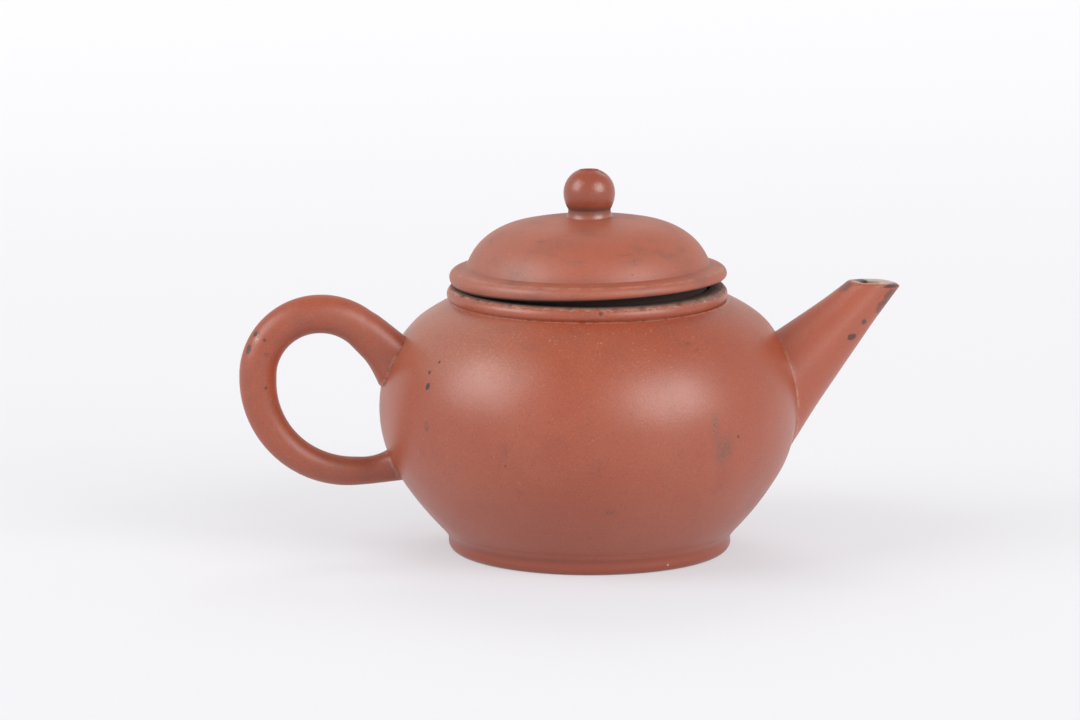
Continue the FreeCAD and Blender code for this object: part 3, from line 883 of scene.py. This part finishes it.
# %% [markdown]
# ## Clay
# The clay is red, unglazed and rubbed to a low shine by use. Its colour drifts slowly over the wall, it is
# full of fine pale sand, and a few dark iron spots burnt through. All pieces share that, so it is one node
# group, and each piece's own marks are laid over it.

# %% A small kit for wiring nodes


class Wiring:
    """Adds nodes to a tree and joins them, so that a material reads from top to bottom."""

    def __init__(self, tree):
        self.tree = tree
        self.count = 0

    def add(self, kind, links=None, **settings):
        node = self.tree.nodes.new(kind)
        node.location = (220 * (self.count % 12), -260 * (self.count // 12))
        self.count += 1
        for name, value in settings.items():
            setattr(node, name, value)
        for socket, source in (links or {}).items():
            self.feed(node.inputs[socket], source)
        return node

    def feed(self, target, source):
        if isinstance(source, bpy.types.NodeSocket):
            self.tree.links.new(source, target)
        else:
            target.default_value = source

    def math(self, operation, first, second=0.0, clamp=False):
        node = self.add("ShaderNodeMath", {0: first, 1: second}, operation=operation, use_clamp=clamp)
        return node.outputs[0]

    def plus(self, first, second, clamp=False):
        return self.math("ADD", first, second, clamp)

    def minus(self, first, second):
        return self.math("SUBTRACT", first, second)

    def times(self, first, *others):
        for other in others:
            first = self.math("MULTIPLY", first, other)
        return first

    def hypot(self, first, second):
        squares = self.plus(self.math("POWER", first, 2.0), self.math("POWER", second, 2.0))
        return self.math("SQRT", squares)

    def vector(self, operation, first, second):
        return self.add("ShaderNodeVectorMath", {0: first, 1: second}, operation=operation).outputs[0]

    def length(self, vector):
        return self.add("ShaderNodeVectorMath", {0: vector}, operation="LENGTH").outputs["Value"]

    def axes(self, vector):
        return self.add("ShaderNodeSeparateXYZ", {0: vector}).outputs

    def ramp(self, value, low, high, to_low=0.0, to_high=1.0):
        """A soft step from one value to another, between two values of the input."""
        links = {"Value": value, "From Min": low, "From Max": high, "To Min": to_low, "To Max": to_high}
        return self.add("ShaderNodeMapRange", links, interpolation_type="SMOOTHSTEP").outputs["Result"]

    def noise(self, vector, scale, detail=2.0, roughness=0.5, offset=(0, 0, 0)):
        if any(offset):
            vector = self.vector("ADD", vector, offset)
        links = {"Vector": vector, "Scale": scale, "Detail": detail, "Roughness": roughness}
        return self.add("ShaderNodeTexNoise", links).outputs["Fac"]

    def patches(self, vector, scale, low, high, detail=3.0, roughness=0.6, offset=(0, 0, 0), to=(0.0, 1.0)):
        """Patches where a noise is high. The scale counts them per metre, low and high cut their edge."""
        return self.ramp(self.noise(vector, scale, detail, roughness, offset), low, high, *to)

    def mix(self, factor, first, second):
        node = self.add("ShaderNodeMix", data_type="RGBA")
        for socket, source in ((0, factor), (6, first), (7, second)):
            self.feed(node.inputs[socket], source)
        return node.outputs[2]

    def lay(self, colour, paint, *masks, strength=None):
        """Lay a paint over a colour, by its masks and its strength multiplied."""
        factors = masks if strength is None else (*masks, strength)
        return self.mix(self.times(*factors), colour, paint)

    def value_of(self, name):
        return self.add("ShaderNodeAttribute", attribute_name=name).outputs["Fac"]


def new_group(name, inputs, outputs):
    """An empty shader node group with named sockets."""
    group = bpy.data.node_groups.new(name, "ShaderNodeTree")
    for label, kind in inputs:
        group.interface.new_socket(label, in_out="INPUT", socket_type=f"NodeSocket{kind}")
    for label, kind in outputs:
        group.interface.new_socket(label, in_out="OUTPUT", socket_type=f"NodeSocket{kind}")
    wiring = Wiring(group)
    start = wiring.add("NodeGroupInput")
    end = wiring.add("NodeGroupOutput")
    return group, wiring, start.outputs, end.inputs


# %% The shared clay
RED_CLAY = (0.300, 0.0565, 0.0222, 1)
PALE_CLAY = (0.320, 0.072, 0.0335, 1)
DEEP_CLAY_AND_SHADE = (0.230, 0.046, 0.023, 1)
SAND = (0.50, 0.26, 0.17, 1)
IRON = (0.045, 0.020, 0.016, 1)
PIT = (0.150, 0.030, 0.016, 1)
POLISHED, UNPOLISHED = 0.29, 0.37
GRAIN_ROUGH = 0.08
SAND_SINK = 0.5

clay_group, clay, clay_in, clay_out = new_group(
    "fired_clay", [("Vector", "Vector")], [("Color", "Color"), ("Roughness", "Float"), ("Height", "Float")])
place = clay_in["Vector"]
drift = clay.patches(place, 38.0, 0.35, 0.70, roughness=0.55)
clouds = clay.patches(place, 150.0, 0.50, 0.80, detail=4.0, offset=(3.1, 0.7, 1.9))
sand = clay.patches(place, 2900.0, 0.66, 0.76, detail=1.0, roughness=0.5)
fine_sand = clay.patches(place, 5200.0, 0.58, 0.78, detail=1.0, roughness=0.5, offset=(9.0, 4.0, 2.0))
iron = clay.patches(place, 1500.0, 0.755, 0.80, detail=1.0, roughness=0.5, offset=(1.0, 8.0, 5.0))
pits = clay.patches(place, 3300.0, 0.55, 0.70, detail=2.0, roughness=0.5, offset=(2.0, 6.0, 9.0))
colour = clay.lay(RED_CLAY, PALE_CLAY, drift)
colour = clay.lay(colour, DEEP_CLAY_AND_SHADE, clouds, strength=0.5)
colour = clay.lay(colour, SAND, sand, strength=0.20)
colour = clay.lay(colour, SAND, fine_sand, strength=0.18)
colour = clay.lay(colour, IRON, iron, strength=0.55)
colour = clay.lay(colour, PIT, pits, strength=0.45)
grain = clay.noise(place, 2100.0, 3.0, 0.6)
polish = clay.noise(place, 60.0, 2.0, 0.5, offset=(6.0, 2.0, 7.0))
rough = clay.plus(clay.ramp(polish, 0.3, 0.7, POLISHED, UNPOLISHED), clay.times(grain, GRAIN_ROUGH))
clay.feed(clay_out["Color"], colour)
clay.feed(clay_out["Roughness"], rough)
clay.feed(clay_out["Height"], clay.minus(grain, clay.times(sand, SAND_SINK)))
print("clay group", len(clay_group.nodes), "nodes")

# %% [markdown]
# A mark is a ragged spot: the distance from its middle, squeezed along the axes for a long one, with a noise
# that frays its edge. A dotted mark is broken up by the grain, as a rubbed stain is.

# %% Ragged spots
FRAY, DOTTED_FRAY_LOSS = 0.9, 0.5
SOFT_EDGE, DOTTED_EDGE_LOSS = 0.75, 0.65
SPOT_END = 1.15
SPOT_INPUTS = [("Vector", "Vector"), ("Centre", "Vector"), ("Squeeze", "Vector"),
               ("Radius", "Float"), ("Dotted", "Float")]
spot_group, spot, spot_in, spot_out = new_group("ragged_spot", SPOT_INPUTS, [("Mask", "Float")])
place, dotted = spot_in["Vector"], spot_in["Dotted"]
away = spot.vector("MULTIPLY", spot.vector("SUBTRACT", place, spot_in["Centre"]), spot_in["Squeeze"])
far_out = spot.math("DIVIDE", spot.length(away), spot_in["Radius"])
fray = spot.minus(spot.noise(place, 1700.0, 3.0, 0.6), 0.5)
fray_depth = spot.minus(FRAY, spot.times(dotted, DOTTED_FRAY_LOSS))
soft_edge = spot.minus(SOFT_EDGE, spot.times(dotted, DOTTED_EDGE_LOSS))
solid = spot.ramp(spot.plus(far_out, spot.times(fray, fray_depth)), soft_edge, SPOT_END, 1.0, 0.0)
dots = spot.patches(place, 3700.0, 0.40, 0.60, detail=2.0, offset=(2.0, 5.0, 1.0))
dots = spot.plus(dots, spot.minus(1.0, dotted), clamp=True)
spot.feed(spot_out["Mask"], spot.times(solid, dots))
print("spot group", len(spot_group.nodes), "nodes")

# %% A material of clay
BUMP_DISTANCE = 0.05 * MM
BUMP_STRENGTH = 0.6
SHINE = 0.7


def lay_spots(wire, place, colour, spots):
    """Lay a piece's spots over its colour, one by one."""
    for centre, radius, squeeze, dotted, paint, strength in spots:
        mask = wire.add("ShaderNodeGroup", node_tree=spot_group)
        wire.feed(mask.inputs["Vector"], place)
        mask.inputs["Centre"].default_value = Vector(centre) * MM
        mask.inputs["Squeeze"].default_value = squeeze
        mask.inputs["Radius"].default_value = radius * MM
        mask.inputs["Dotted"].default_value = dotted
        colour = wire.lay(colour, paint, mask.outputs[0], strength=strength)
    return colour


def clay_material(name, spots, wear_and_light):
    """The shared clay, worn and given painted light by a function of its own, and marked with spots."""
    material = bpy.data.materials.new(name)
    material.use_nodes = True
    tree = material.node_tree
    tree.nodes.clear()
    wire = Wiring(tree)
    place = wire.add("ShaderNodeTexCoord").outputs["Object"]
    body = wire.add("ShaderNodeGroup", node_tree=clay_group)
    wire.feed(body.inputs["Vector"], place)
    colour, rough = wear_and_light(wire, place, body.outputs["Color"], body.outputs["Roughness"])
    colour = lay_spots(wire, place, colour, spots)
    bump = wire.add("ShaderNodeBump", {
        "Height": body.outputs["Height"], "Strength": BUMP_STRENGTH, "Distance": BUMP_DISTANCE})
    shader = wire.add("ShaderNodeBsdfPrincipled", {
        "Base Color": colour, "Roughness": rough, "Normal": bump.outputs[0], "Specular IOR Level": SHINE})
    end = wire.add("ShaderNodeOutputMaterial")
    wire.feed(end.inputs["Surface"], shader.outputs[0])
    print(name, len(tree.nodes), "nodes,", len(spots), "spots")
    return material


# %% Where on the pot a point of the clay is
RING_CORE = 0.35


def across(wire, place):
    """A point's place from left to right, in millimetres."""
    return wire.math("DIVIDE", wire.axes(place)[0], MM)


def radius_and_level(wire, place):
    """A point's distance from the pot's axis and its level, in millimetres."""
    axes = wire.axes(place)
    return wire.math("DIVIDE", wire.hypot(axes[0], axes[1]), MM), wire.math("DIVIDE", axes[2], MM)


def near_ring(wire, radius, level, ring, reach):
    """1 at a ring about the axis, fading to 0 within a reach."""
    away = wire.hypot(wire.minus(radius, ring[0]), wire.minus(level, ring[1]))
    return wire.ramp(away, reach * RING_CORE, reach, 1.0, 0.0)


def broken(wire, place, scale, low=0.40, high=0.60):
    """Patches that break up a line of dust or slip."""
    return wire.patches(place, scale, low, high)


def dust_specks(wire, place, film, speck):
    """Fine specks of dust over a thinner film of it."""
    return wire.patches(place, 2300.0, 0.52, 0.66, detail=2.0, offset=(1.0, 8.0, 3.0), to=(film, speck))


# %% [markdown]
# ## Wear and painted light on the pot
# Dust lies in the seam under the collar and on the shoulder, most at the left, where the pale dust is also a
# painted sheen, and dirt in the seam over the foot. The foot ring and the lower belly are laid darker, a
# painted shade. The marks on the belly are iron spots at the left, the largest with a painted glint in its
# middle, a rubbed stain at the right and a few small scuffs.
# A row of a spot table gives its centre, radius, squeeze, dottedness, paint and strength.

# %% Belly, shoulder and foot
DUST_AND_SHEEN = (0.56, 0.38, 0.29, 1)
FOOT_SHADE = (0.225, 0.036, 0.012, 1)
GRIME_AND_SHADE = (0.085, 0.034, 0.024, 1)
SOOT = (0.018, 0.011, 0.009, 1)
ASH_AND_GLINT = (0.110, 0.060, 0.050, 1)
STAIN = (0.075, 0.024, 0.013, 1)
IVORY = (0.55, 0.43, 0.31, 1)
ROUND = (1, 1, 1)
TALL = (1, 1, 0.62)
FLAT = (1, 1, 2.2)
seam_ring = (collar_seam_radius + 0.1, collar_level - 0.05)
shoulder_dust_levels = (37.0, 47.0)
left_dust_sheen_levels, left_dust_sheen_sides = (34.0, 41.0), (-8.0, -24.0)
foot_shade_levels = (foot_height + 0.6, foot_height - 0.6)
low_shade_levels = (22.0, 4.0)


def pot_wear_and_light(wire, place, colour, rough):
    radius, level = radius_and_level(wire, place)
    seam = near_ring(wire, radius, level, seam_ring, reach=0.42)
    colour = wire.lay(colour, DUST_AND_SHEEN, seam, broken(wire, place, 700.0, 0.36, 0.56), strength=0.25)
    high = wire.ramp(level, *shoulder_dust_levels)
    grit = wire.patches(place, 1900.0, 0.66, 0.74, detail=1.0, roughness=0.5, offset=(4.0, 4.0, 4.0))
    colour = wire.lay(colour, DUST_AND_SHEEN, grit, high, strength=0.22)
    colour = wire.lay(colour, ASH_AND_GLINT, high, wire.patches(place, 120.0, 0.40, 0.75), strength=0.12)
    left = wire.times(wire.ramp(level, *left_dust_sheen_levels), wire.ramp(across(wire, place), *left_dust_sheen_sides))
    # Dust on the left shoulder, which is also a painted sheen where the left light falls.
    colour = wire.lay(colour, DUST_AND_SHEEN, left, dust_specks(wire, place, 0.10, 0.20))
    # Painted shade: the foot ring is laid darker and redder, against the floor's glow that shows in it.
    colour = wire.lay(colour, FOOT_SHADE, wire.ramp(level, *foot_shade_levels), strength=0.75)
    dirt = near_ring(wire, radius, level, (foot_seam_radius, foot_height), reach=0.7)
    colour = wire.lay(colour, GRIME_AND_SHADE, dirt, strength=0.30)
    # Painted shade: the belly is laid darker towards the bottom.
    return wire.lay(colour, DEEP_CLAY_AND_SHADE, wire.ramp(level, *low_shade_levels), strength=0.22), rough


BELLY_SPOTS = (
    ((-30.0, -20.0, 40.0), 0.30, ROUND, 0, SOOT, 0.95),
    ((-31.9, -19.4, 38.0), 0.40, ROUND, 0, SOOT, 0.95),
    ((-32.3, -20.8, 35.6), 0.62, (1, 1, 0.8), 0, SOOT, 0.97),
    # A painted glint: a small grey spot in the middle of the largest iron spot.
    ((-32.6, -20.9, 35.5), 0.24, TALL, 0, ASH_AND_GLINT, 0.90),
    ((-32.7, -23.0, 28.4), 0.68, TALL, 0, GRIME_AND_SHADE, 0.50),
    ((-32.6, -23.0, 28.6), 0.30, TALL, 0, RED_CLAY, 0.80),
    ((-19.0, -35.1, 25.8), 0.9, (1, 1, 0.5), 1, GRIME_AND_SHADE, 0.45),
    ((-19.0, -34.7, 23.0), 0.30, ROUND, 0, GRIME_AND_SHADE, 0.60),
    ((-16.2, -34.3, 17.8), 0.9, ROUND, 1, GRIME_AND_SHADE, 0.35),
    ((-33.5, -21.1, 23.2), 0.7, TALL, 1, GRIME_AND_SHADE, 0.45),
    ((-26.1, -21.0, 10.7), 0.30, ROUND, 0, GRIME_AND_SHADE, 0.55),
    ((20.1, -34.4, 30.0), 1.3, (1, 1, 0.35), 1, ASH_AND_GLINT, 0.75),
    ((21.8, -33.3, 25.0), 3.0, (1, 1, 0.8), 1, ASH_AND_GLINT, 0.90),
    ((24.8, -31.3, 27.0), 0.40, ROUND, 0, STAIN, 0.80),
    ((0.3, -35.8, 14.0), 1.6, FLAT, 1, GRIME_AND_SHADE, 0.75),
    ((15.6, -28.4, 44.2), 0.9, FLAT, 1, GRIME_AND_SHADE, 0.60),
    ((17.2, -28.9, 43.0), 0.9, FLAT, 1, GRIME_AND_SHADE, 0.60),
    ((12.6, -24.0, 1.3), 0.26, ROUND, 0, IVORY, 0.65),
)
pot_material = clay_material("pot_clay", BELLY_SPOTS, pot_wear_and_light)

# %% [markdown]
# The collar's top is brown and black with tea, up to a ragged edge that the lid has worn pale in places; that
# pale band is also a painted highlight on the rounded edge. Each band starts and ends at a distance in from
# the collar's widest line, which a noise makes ragged.

# %% Collar
TEA = (0.165, 0.085, 0.066, 1)
RAGGED = 1.5
collar_top_levels = (collar_swell_level + 0.5, collar_swell_level + 0.9)
bared_shine_band, brown_band, black_band = (0.35, 0.60), (0.58, 0.72), (1.1, 3.2)


def collar_wear_and_light(wire, place, colour, rough):
    radius, level = radius_and_level(wire, place)
    ragged = wire.minus(wire.noise(place, 800.0, 4.0, 0.65), 0.5)
    edge = wire.plus(radius, wire.times(ragged, RAGGED))
    upper = wire.ramp(level, *collar_top_levels)
    bared_and_shine, brown, black = (
        wire.times(wire.ramp(edge, collar_radius - start, collar_radius - end), upper)
        for start, end in (bared_shine_band, brown_band, black_band))
    patchy = wire.patches(place, 420.0, 0.42, 0.62, offset=(5.0, 3.0, 8.0), to=(0.10, 0.45))
    # The pale band is worn clay, and also a painted highlight on the collar's rounded edge.
    colour = wire.lay(colour, DUST_AND_SHEEN, bared_and_shine, patchy)
    colour = wire.lay(colour, TEA, brown, strength=0.80)
    colour = wire.lay(colour, SOOT, black, strength=0.85)
    seam = near_ring(wire, radius, level, (collar_seam_radius, collar_level), reach=0.30)
    colour = wire.lay(colour, DUST_AND_SHEEN, seam, broken(wire, place, 700.0), strength=0.15)
    return colour, wire.plus(rough, wire.times(brown, 0.4), clamp=True)


COLLAR_SPOTS = (((-0.45, -26.75, 49.75), 0.42, ROUND, 0, STAIN, 0.85),)
collar_material = clay_material("collar_clay", COLLAR_SPOTS, collar_wear_and_light)

# %% [markdown]
# The spout's lip is stained where the tea drips: dark at its upper corner and down its lower edge. Inside it
# is pale with scale, and a thin line of slip shows round the root.

# %% Spout
FADED = (0.43, 0.112, 0.062, 1)
SCALE = (0.46, 0.41, 0.35, 1)
SPOUT_FADE = 0.35


def spout_wear(wire, place, colour, rough):
    colour = wire.lay(colour, FADED, strength=SPOUT_FADE)
    joint = wire.ramp(wire.value_of("joint"), 0.45, 0.95)
    colour = wire.lay(colour, DUST_AND_SHEEN, joint, broken(wire, place, 600.0), strength=0.30)
    inside = wire.ramp(wire.value_of("inside"), 0.25, 0.7)
    return wire.lay(colour, SCALE, inside, strength=0.80), rough


SPOUT_SPOTS = (
    ((52.2, -4.3, 43.4), 0.60, ROUND, 0, GRIME_AND_SHADE, 0.90),
    ((49.8, -4.9, 40.7), 1.10, (1, 1, 1.6), 0, SOOT, 0.80),
    ((57.4, -1.9, 47.7), 2.1, ROUND, 0, STAIN, 0.65),
    ((55.7, -2.6, 46.0), 1.5, ROUND, 0, STAIN, 0.60),
    ((49.0, -1.2, 49.9), 1.6, ROUND, 0, ASH_AND_GLINT, 0.60),
    ((52.3, 1.2, 50.2), 1.7, ROUND, 0, SOOT, 0.85),
    ((57.6, -2.4, 50.0), 2.4, (1, 1, 7), 0, SOOT, 0.80),
    ((46.7, -3.5, 47.2), 0.70, ROUND, 1, GRIME_AND_SHADE, 0.50),
)
spout_material = clay_material("spout_clay", SPOUT_SPOTS, spout_wear)

# %% [markdown]
# The handle is rubbed grey in patches by the hand, and slip and dirt show at its joints. The chips on its bow
# are dark, with a little bare pale clay beside the largest.

# %% Handle
HANDLE_ROUGH = 0.05


def handle_wear(wire, place, colour, rough):
    joint = wire.value_of("joint")
    colour = wire.lay(colour, DUST_AND_SHEEN, wire.ramp(joint, 0.15, 0.6), broken(wire, place, 700.0), strength=0.22)
    colour = wire.lay(colour, GRIME_AND_SHADE, wire.ramp(joint, 0.75, 1.0), strength=0.12)
    rubbed = wire.patches(place, 150.0, 0.45, 0.72, detail=4.0, roughness=0.65, offset=(3.0, 6.0, 2.0))
    return wire.lay(colour, ASH_AND_GLINT, rubbed, strength=0.22), wire.plus(rough, HANDLE_ROUGH)


HANDLE_SPOTS = (
    ((-63.2, -2.3, 42.0), 0.9, ROUND, 1, IVORY, 0.70),
    ((-63.6, -1.8, 42.7), 0.75, ROUND, 0, SOOT, 0.85),
    ((-61.7, -3.5, 41.7), 0.42, ROUND, 0, STAIN, 0.90),
    ((-64.8, -2.1, 40.0), 0.75, TALL, 0, SOOT, 0.75),
    ((-61.3, -3.6, 38.9), 0.70, ROUND, 1, STAIN, 0.85),
    ((-61.5, -3.2, 32.5), 0.36, ROUND, 0, STAIN, 0.75),
    ((-37.5, -2.6, 41.6), 0.36, ROUND, 0, STAIN, 0.75),
)
handle_material = clay_material("handle_clay", HANDLE_SPOTS, handle_wear)

# %% [markdown]
# The lid is handled most: its dome is faded and streaked with grey, its cove holds dirt, and its underside
# and flange are black with tea like the collar's top. A pale line along the roll's ridge is a painted
# highlight, and the left flank's paleness is touch and a painted sheen. The knob is deeper red, with painted
# shade at its neck under the ball and a faint painted highlight round its foot.

# %% Lid and flange
LID_FADE = 0.20
TOUCH_AND_SHEEN = (0.33, 0.23, 0.19, 1)
LID_TOUCH = 0.05
LID_ROUGH = 0.12
SOOT_ROUGH = 0.5
STREAKED = (1, 1, 3)
roll_ridge = (roll[0] + 0.3, roll[1])
touched_sheen_sides = (-3.0, -18.0)


def lid_wear_and_light(wire, place, colour, rough):
    radius, level = wire.value_of("lid_radius"), wire.value_of("lid_level")
    colour = wire.lay(colour, FADED, strength=LID_FADE)
    colour = wire.lay(colour, TOUCH_AND_SHEEN, strength=LID_TOUCH)
    dirt = near_ring(wire, radius, level, crease, reach=1.1)
    colour = wire.lay(colour, GRIME_AND_SHADE, dirt, strength=0.12)
    # Painted highlight: a broken pale line along the ridge of the rim's roll.
    ridge = near_ring(wire, radius, level, roll_ridge, reach=0.7)
    colour = wire.lay(colour, DUST_AND_SHEEN, ridge, broken(wire, place, 500.0, 0.42, 0.62), strength=0.16)
    # The lid's left flank is paler, with touch and also a painted sheen where the left light falls.
    left = wire.ramp(across(wire, place), *touched_sheen_sides)
    colour = wire.lay(colour, TOUCH_AND_SHEEN, left, dust_specks(wire, place, 0.08, 0.20))
    streaks = wire.vector("MULTIPLY", place, STREAKED)
    rubbed = wire.patches(streaks, 160.0, 0.46, 0.74, detail=5.0, roughness=0.7, offset=(7.0, 1.0, 3.0))
    colour = wire.lay(colour, ASH_AND_GLINT, rubbed, strength=0.36)
    under = wire.ramp(wire.value_of("under"), 0.55, 0.9)
    colour = wire.lay(colour, SOOT, under, strength=0.9)
    return colour, wire.plus(rough, wire.plus(LID_ROUGH, wire.times(under, SOOT_ROUGH)), clamp=True)


def flange_wear(wire, place, colour, rough):
    black = wire.ramp(wire.value_of("lid_level"), -4.0, -0.5, 0.45, 0.95)
    return wire.lay(colour, SOOT, black), wire.plus(rough, SOOT_ROUGH, clamp=True)


LID_SPOTS = (
    ((-10.4, -13.8, 61.5), 1.3, FLAT, 1, GRIME_AND_SHADE, 0.75),
    ((4.9, -19.9, 59.5), 2.2, (0.8, 1, 8), 1, GRIME_AND_SHADE, 0.60),
    ((6.6, -20.4, 58.4), 2.4, FLAT, 1, ASH_AND_GLINT, 0.55),
    ((6.0, -22.0, 56.3), 0.38, ROUND, 0, SOOT, 0.85),
    ((-16.4, -20.3, 53.9), 0.34, ROUND, 0, STAIN, 0.85),
    ((-2.3, -11.8, 63.1), 3.5, ROUND, 1, ASH_AND_GLINT, 0.45),
    ((19.2, -16.5, 55.0), 3.0, ROUND, 1, ASH_AND_GLINT, 0.50),
    ((-15.6, -18.0, 55.3), 4.0, ROUND, 1, ASH_AND_GLINT, 0.45),
)
lid_material = clay_material("lid_clay", LID_SPOTS, lid_wear_and_light)
flange_material = clay_material("flange_clay", (), flange_wear)

# %% Knob
KNOB_DEEP = 0.55
KNOB_POLISH = 0.05
neck_ring = (neck[0], neck[1] + 0.2)


def knob_wear_and_light(wire, place, colour, rough):
    radius, level = wire.value_of("lid_radius"), wire.value_of("lid_level")
    colour = wire.lay(colour, DEEP_CLAY_AND_SHADE, strength=KNOB_DEEP)
    # Painted shade: a dark ring at the neck, under the ball's overhang.
    dark = near_ring(wire, radius, level, neck_ring, reach=1.3)
    colour = wire.lay(colour, GRIME_AND_SHADE, dark, strength=0.60)
    # Painted highlight: a faint pale ring where the knob's foot flares.
    pale = near_ring(wire, radius, level, (knob_foot, knob_seat), reach=0.8)
    colour = wire.lay(colour, DUST_AND_SHEEN, pale, strength=0.10)
    return colour, wire.plus(wire.minus(rough, KNOB_POLISH), wire.times(dark, 0.3), clamp=True)


KNOB_SPOTS = (((2.2, -1.2, 72.5), 0.55, ROUND, 0, STAIN, 0.80),)
knob_material = clay_material("knob_clay", KNOB_SPOTS, knob_wear_and_light)

# %% Give each piece its clay
PAINT = (
    (pot_material, (base_disc, belly_wall, shoulder_disc, foot_ring)),
    (collar_material, (mouth_collar,)),
    (spout_material, (spout,)),
    (handle_material, (handle,)),
    (lid_material, (lid_dome, lid_rim)),
    (flange_material, (lid_flange,)),
    (knob_material, (knob,)),
)
for material, pieces in PAINT:
    for piece in pieces:
        piece.data.materials.clear()
        piece.data.materials.append(material)
    print(material.name, "on", len(pieces), "pieces")

# %% [markdown]
# ## Floor
# The pot stands on a plain pale floor, painted a little paler far off, where the lamps' light falls off. It
# glows faintly too, a painted light that keeps the shadows light. A brighter lamp would burn out the clay's
# shines instead.

# %% Floor
FLOOR = (0.845, 0.845, 0.88, 1)
FAR_FLOOR = (0.93, 0.93, 0.96, 1)
BLACK = (0, 0, 0, 1)
FLOOR_SIZE = 8.0
PAINTED_FLOOR_GLOW = 0.49
FLOOR_SHADE = 0.45
FLOOR_ROUGH = 0.9
FLOOR_SHINE = 0.1
paling_from, paling_to = 0.1, 0.9
select_none()
bpy.ops.mesh.primitive_plane_add(size=FLOOR_SIZE, location=(0, 0, 0))
floor = bpy.context.active_object
floor.name = "floor"
floor_material = bpy.data.materials.new("pale_floor")
floor_material.use_nodes = True
sheet = Wiring(floor_material.node_tree)
sheet_inputs = floor_material.node_tree.nodes["Principled BSDF"].inputs
sheet_depth = sheet.axes(sheet.add("ShaderNodeTexCoord").outputs["Object"])[1]
# Painted light: the floor is laid paler far off, where the lamps' light falls off.
sheet_colour = sheet.mix(sheet.ramp(sheet_depth, paling_from, paling_to), FLOOR, FAR_FLOOR)
sheet.feed(sheet_inputs["Base Color"], sheet.mix(FLOOR_SHADE, BLACK, sheet_colour))
# Painted light: the floor glows, so that its shadows stay light; its lit colour is dimmed to match.
sheet.feed(sheet_inputs["Emission Color"], sheet_colour)
sheet.feed(sheet_inputs["Emission Strength"], PAINTED_FLOOR_GLOW)
sheet.feed(sheet_inputs["Roughness"], FLOOR_ROUGH)
sheet.feed(sheet_inputs["Specular IOR Level"], FLOOR_SHINE)
floor.data.materials.append(floor_material)
print("floor", FLOOR_SIZE, "m wide")

# %% [markdown]
# ## Light
# Two soft lights, one at the left and one at the front right, make the two broad shines on the belly. A weak
# one behind throws the soft shadow in front of the foot, and is kept out of the shines. A pale room fills the
# rest, dimmer overhead than at eye level.

# %% Light
LIGHT_DISTANCE = 3.0
LIGHT_AIM = Vector((0, 0, 35 * MM))
EYE_LEVEL_LIGHT, OVERHEAD_LIGHT = 0.86, 0.42
eye_level, overhead = 0.2, 1.0
ROOM = (1.0, 0.98, 0.95, 1)


def from_pot(azimuth, elevation):
    """The direction from the pot to a place. Azimuth 0 is the front, and positive is to the right."""
    level = math.cos(elevation)
    return Vector((math.sin(azimuth) * level, -math.cos(azimuth) * level, math.sin(elevation)))


def soft_light(name, azimuth, elevation, width, height, power):
    """A broad area light that faces the pot, placed in degrees and sized in metres."""
    toward = from_pot(math.radians(azimuth), math.radians(elevation))
    lamp = bpy.data.lights.new(name, "AREA")
    lamp.shape = "RECTANGLE"
    lamp.size = width
    lamp.size_y = height
    lamp.energy = power
    light = bpy.data.objects.new(name, lamp)
    light.location = LIGHT_AIM + toward * LIGHT_DISTANCE
    light.rotation_euler = toward.to_track_quat("Z", "Y").to_euler()
    bpy.context.scene.collection.objects.link(light)
    print(name, power, "W")
    return light


soft_light("left_soft_light", azimuth=-75, elevation=33, width=2.0, height=2.0, power=51.0)
soft_light("right_soft_light", azimuth=45, elevation=28.5, width=2.0, height=1.7, power=58.0)
back_light = soft_light("back_soft_light", azimuth=176, elevation=42, width=1.6, height=1.2, power=24.0)
back_light.visible_glossy = False
world = bpy.data.worlds.new("pale_room")
bpy.context.scene.world = world
world.use_nodes = True
room = Wiring(world.node_tree)
room_height = room.axes(room.add("ShaderNodeTexCoord").outputs["Generated"])[2]
room_inputs = world.node_tree.nodes["Background"].inputs
room.feed(room_inputs["Color"], ROOM)
room_light = room.ramp(room_height, eye_level, overhead, EYE_LEVEL_LIGHT, OVERHEAD_LIGHT)
room.feed(room_inputs["Strength"], room_light)

# %% [markdown]
# ## Camera
# The pot is seen from far off through a long lens, from a little above and a little to the left of its front.
# The focal length is given in the photograph's pixels, and the lens follows from it.

# %% Camera
PHOTO_WIDTH = 1080
focal_pixels = 5860.0
camera_distance = 1113.4
camera_azimuth = math.radians(-5.5)
camera_pitch = math.radians(10.4)
aim_level = 36.2
aim_shift = 9.18
back = from_pot(camera_azimuth, camera_pitch)
across_view = Vector((math.cos(camera_azimuth), math.sin(camera_azimuth), 0))
aim = Vector((0, 0, aim_level)) - across_view * aim_shift
lens = bpy.data.cameras.new("photo_camera")
lens.sensor_width = 36.0
lens.lens = focal_pixels * lens.sensor_width / PHOTO_WIDTH
camera = bpy.data.objects.new("photo_camera", lens)
camera.location = (aim + back * camera_distance) * MM
camera.rotation_euler = back.to_track_quat("Z", "Y").to_euler()
bpy.context.scene.collection.objects.link(camera)
bpy.context.scene.camera = camera
bpy.context.scene.view_settings.view_transform = "Standard"
print("lens", round(lens.lens, 1), "mm")
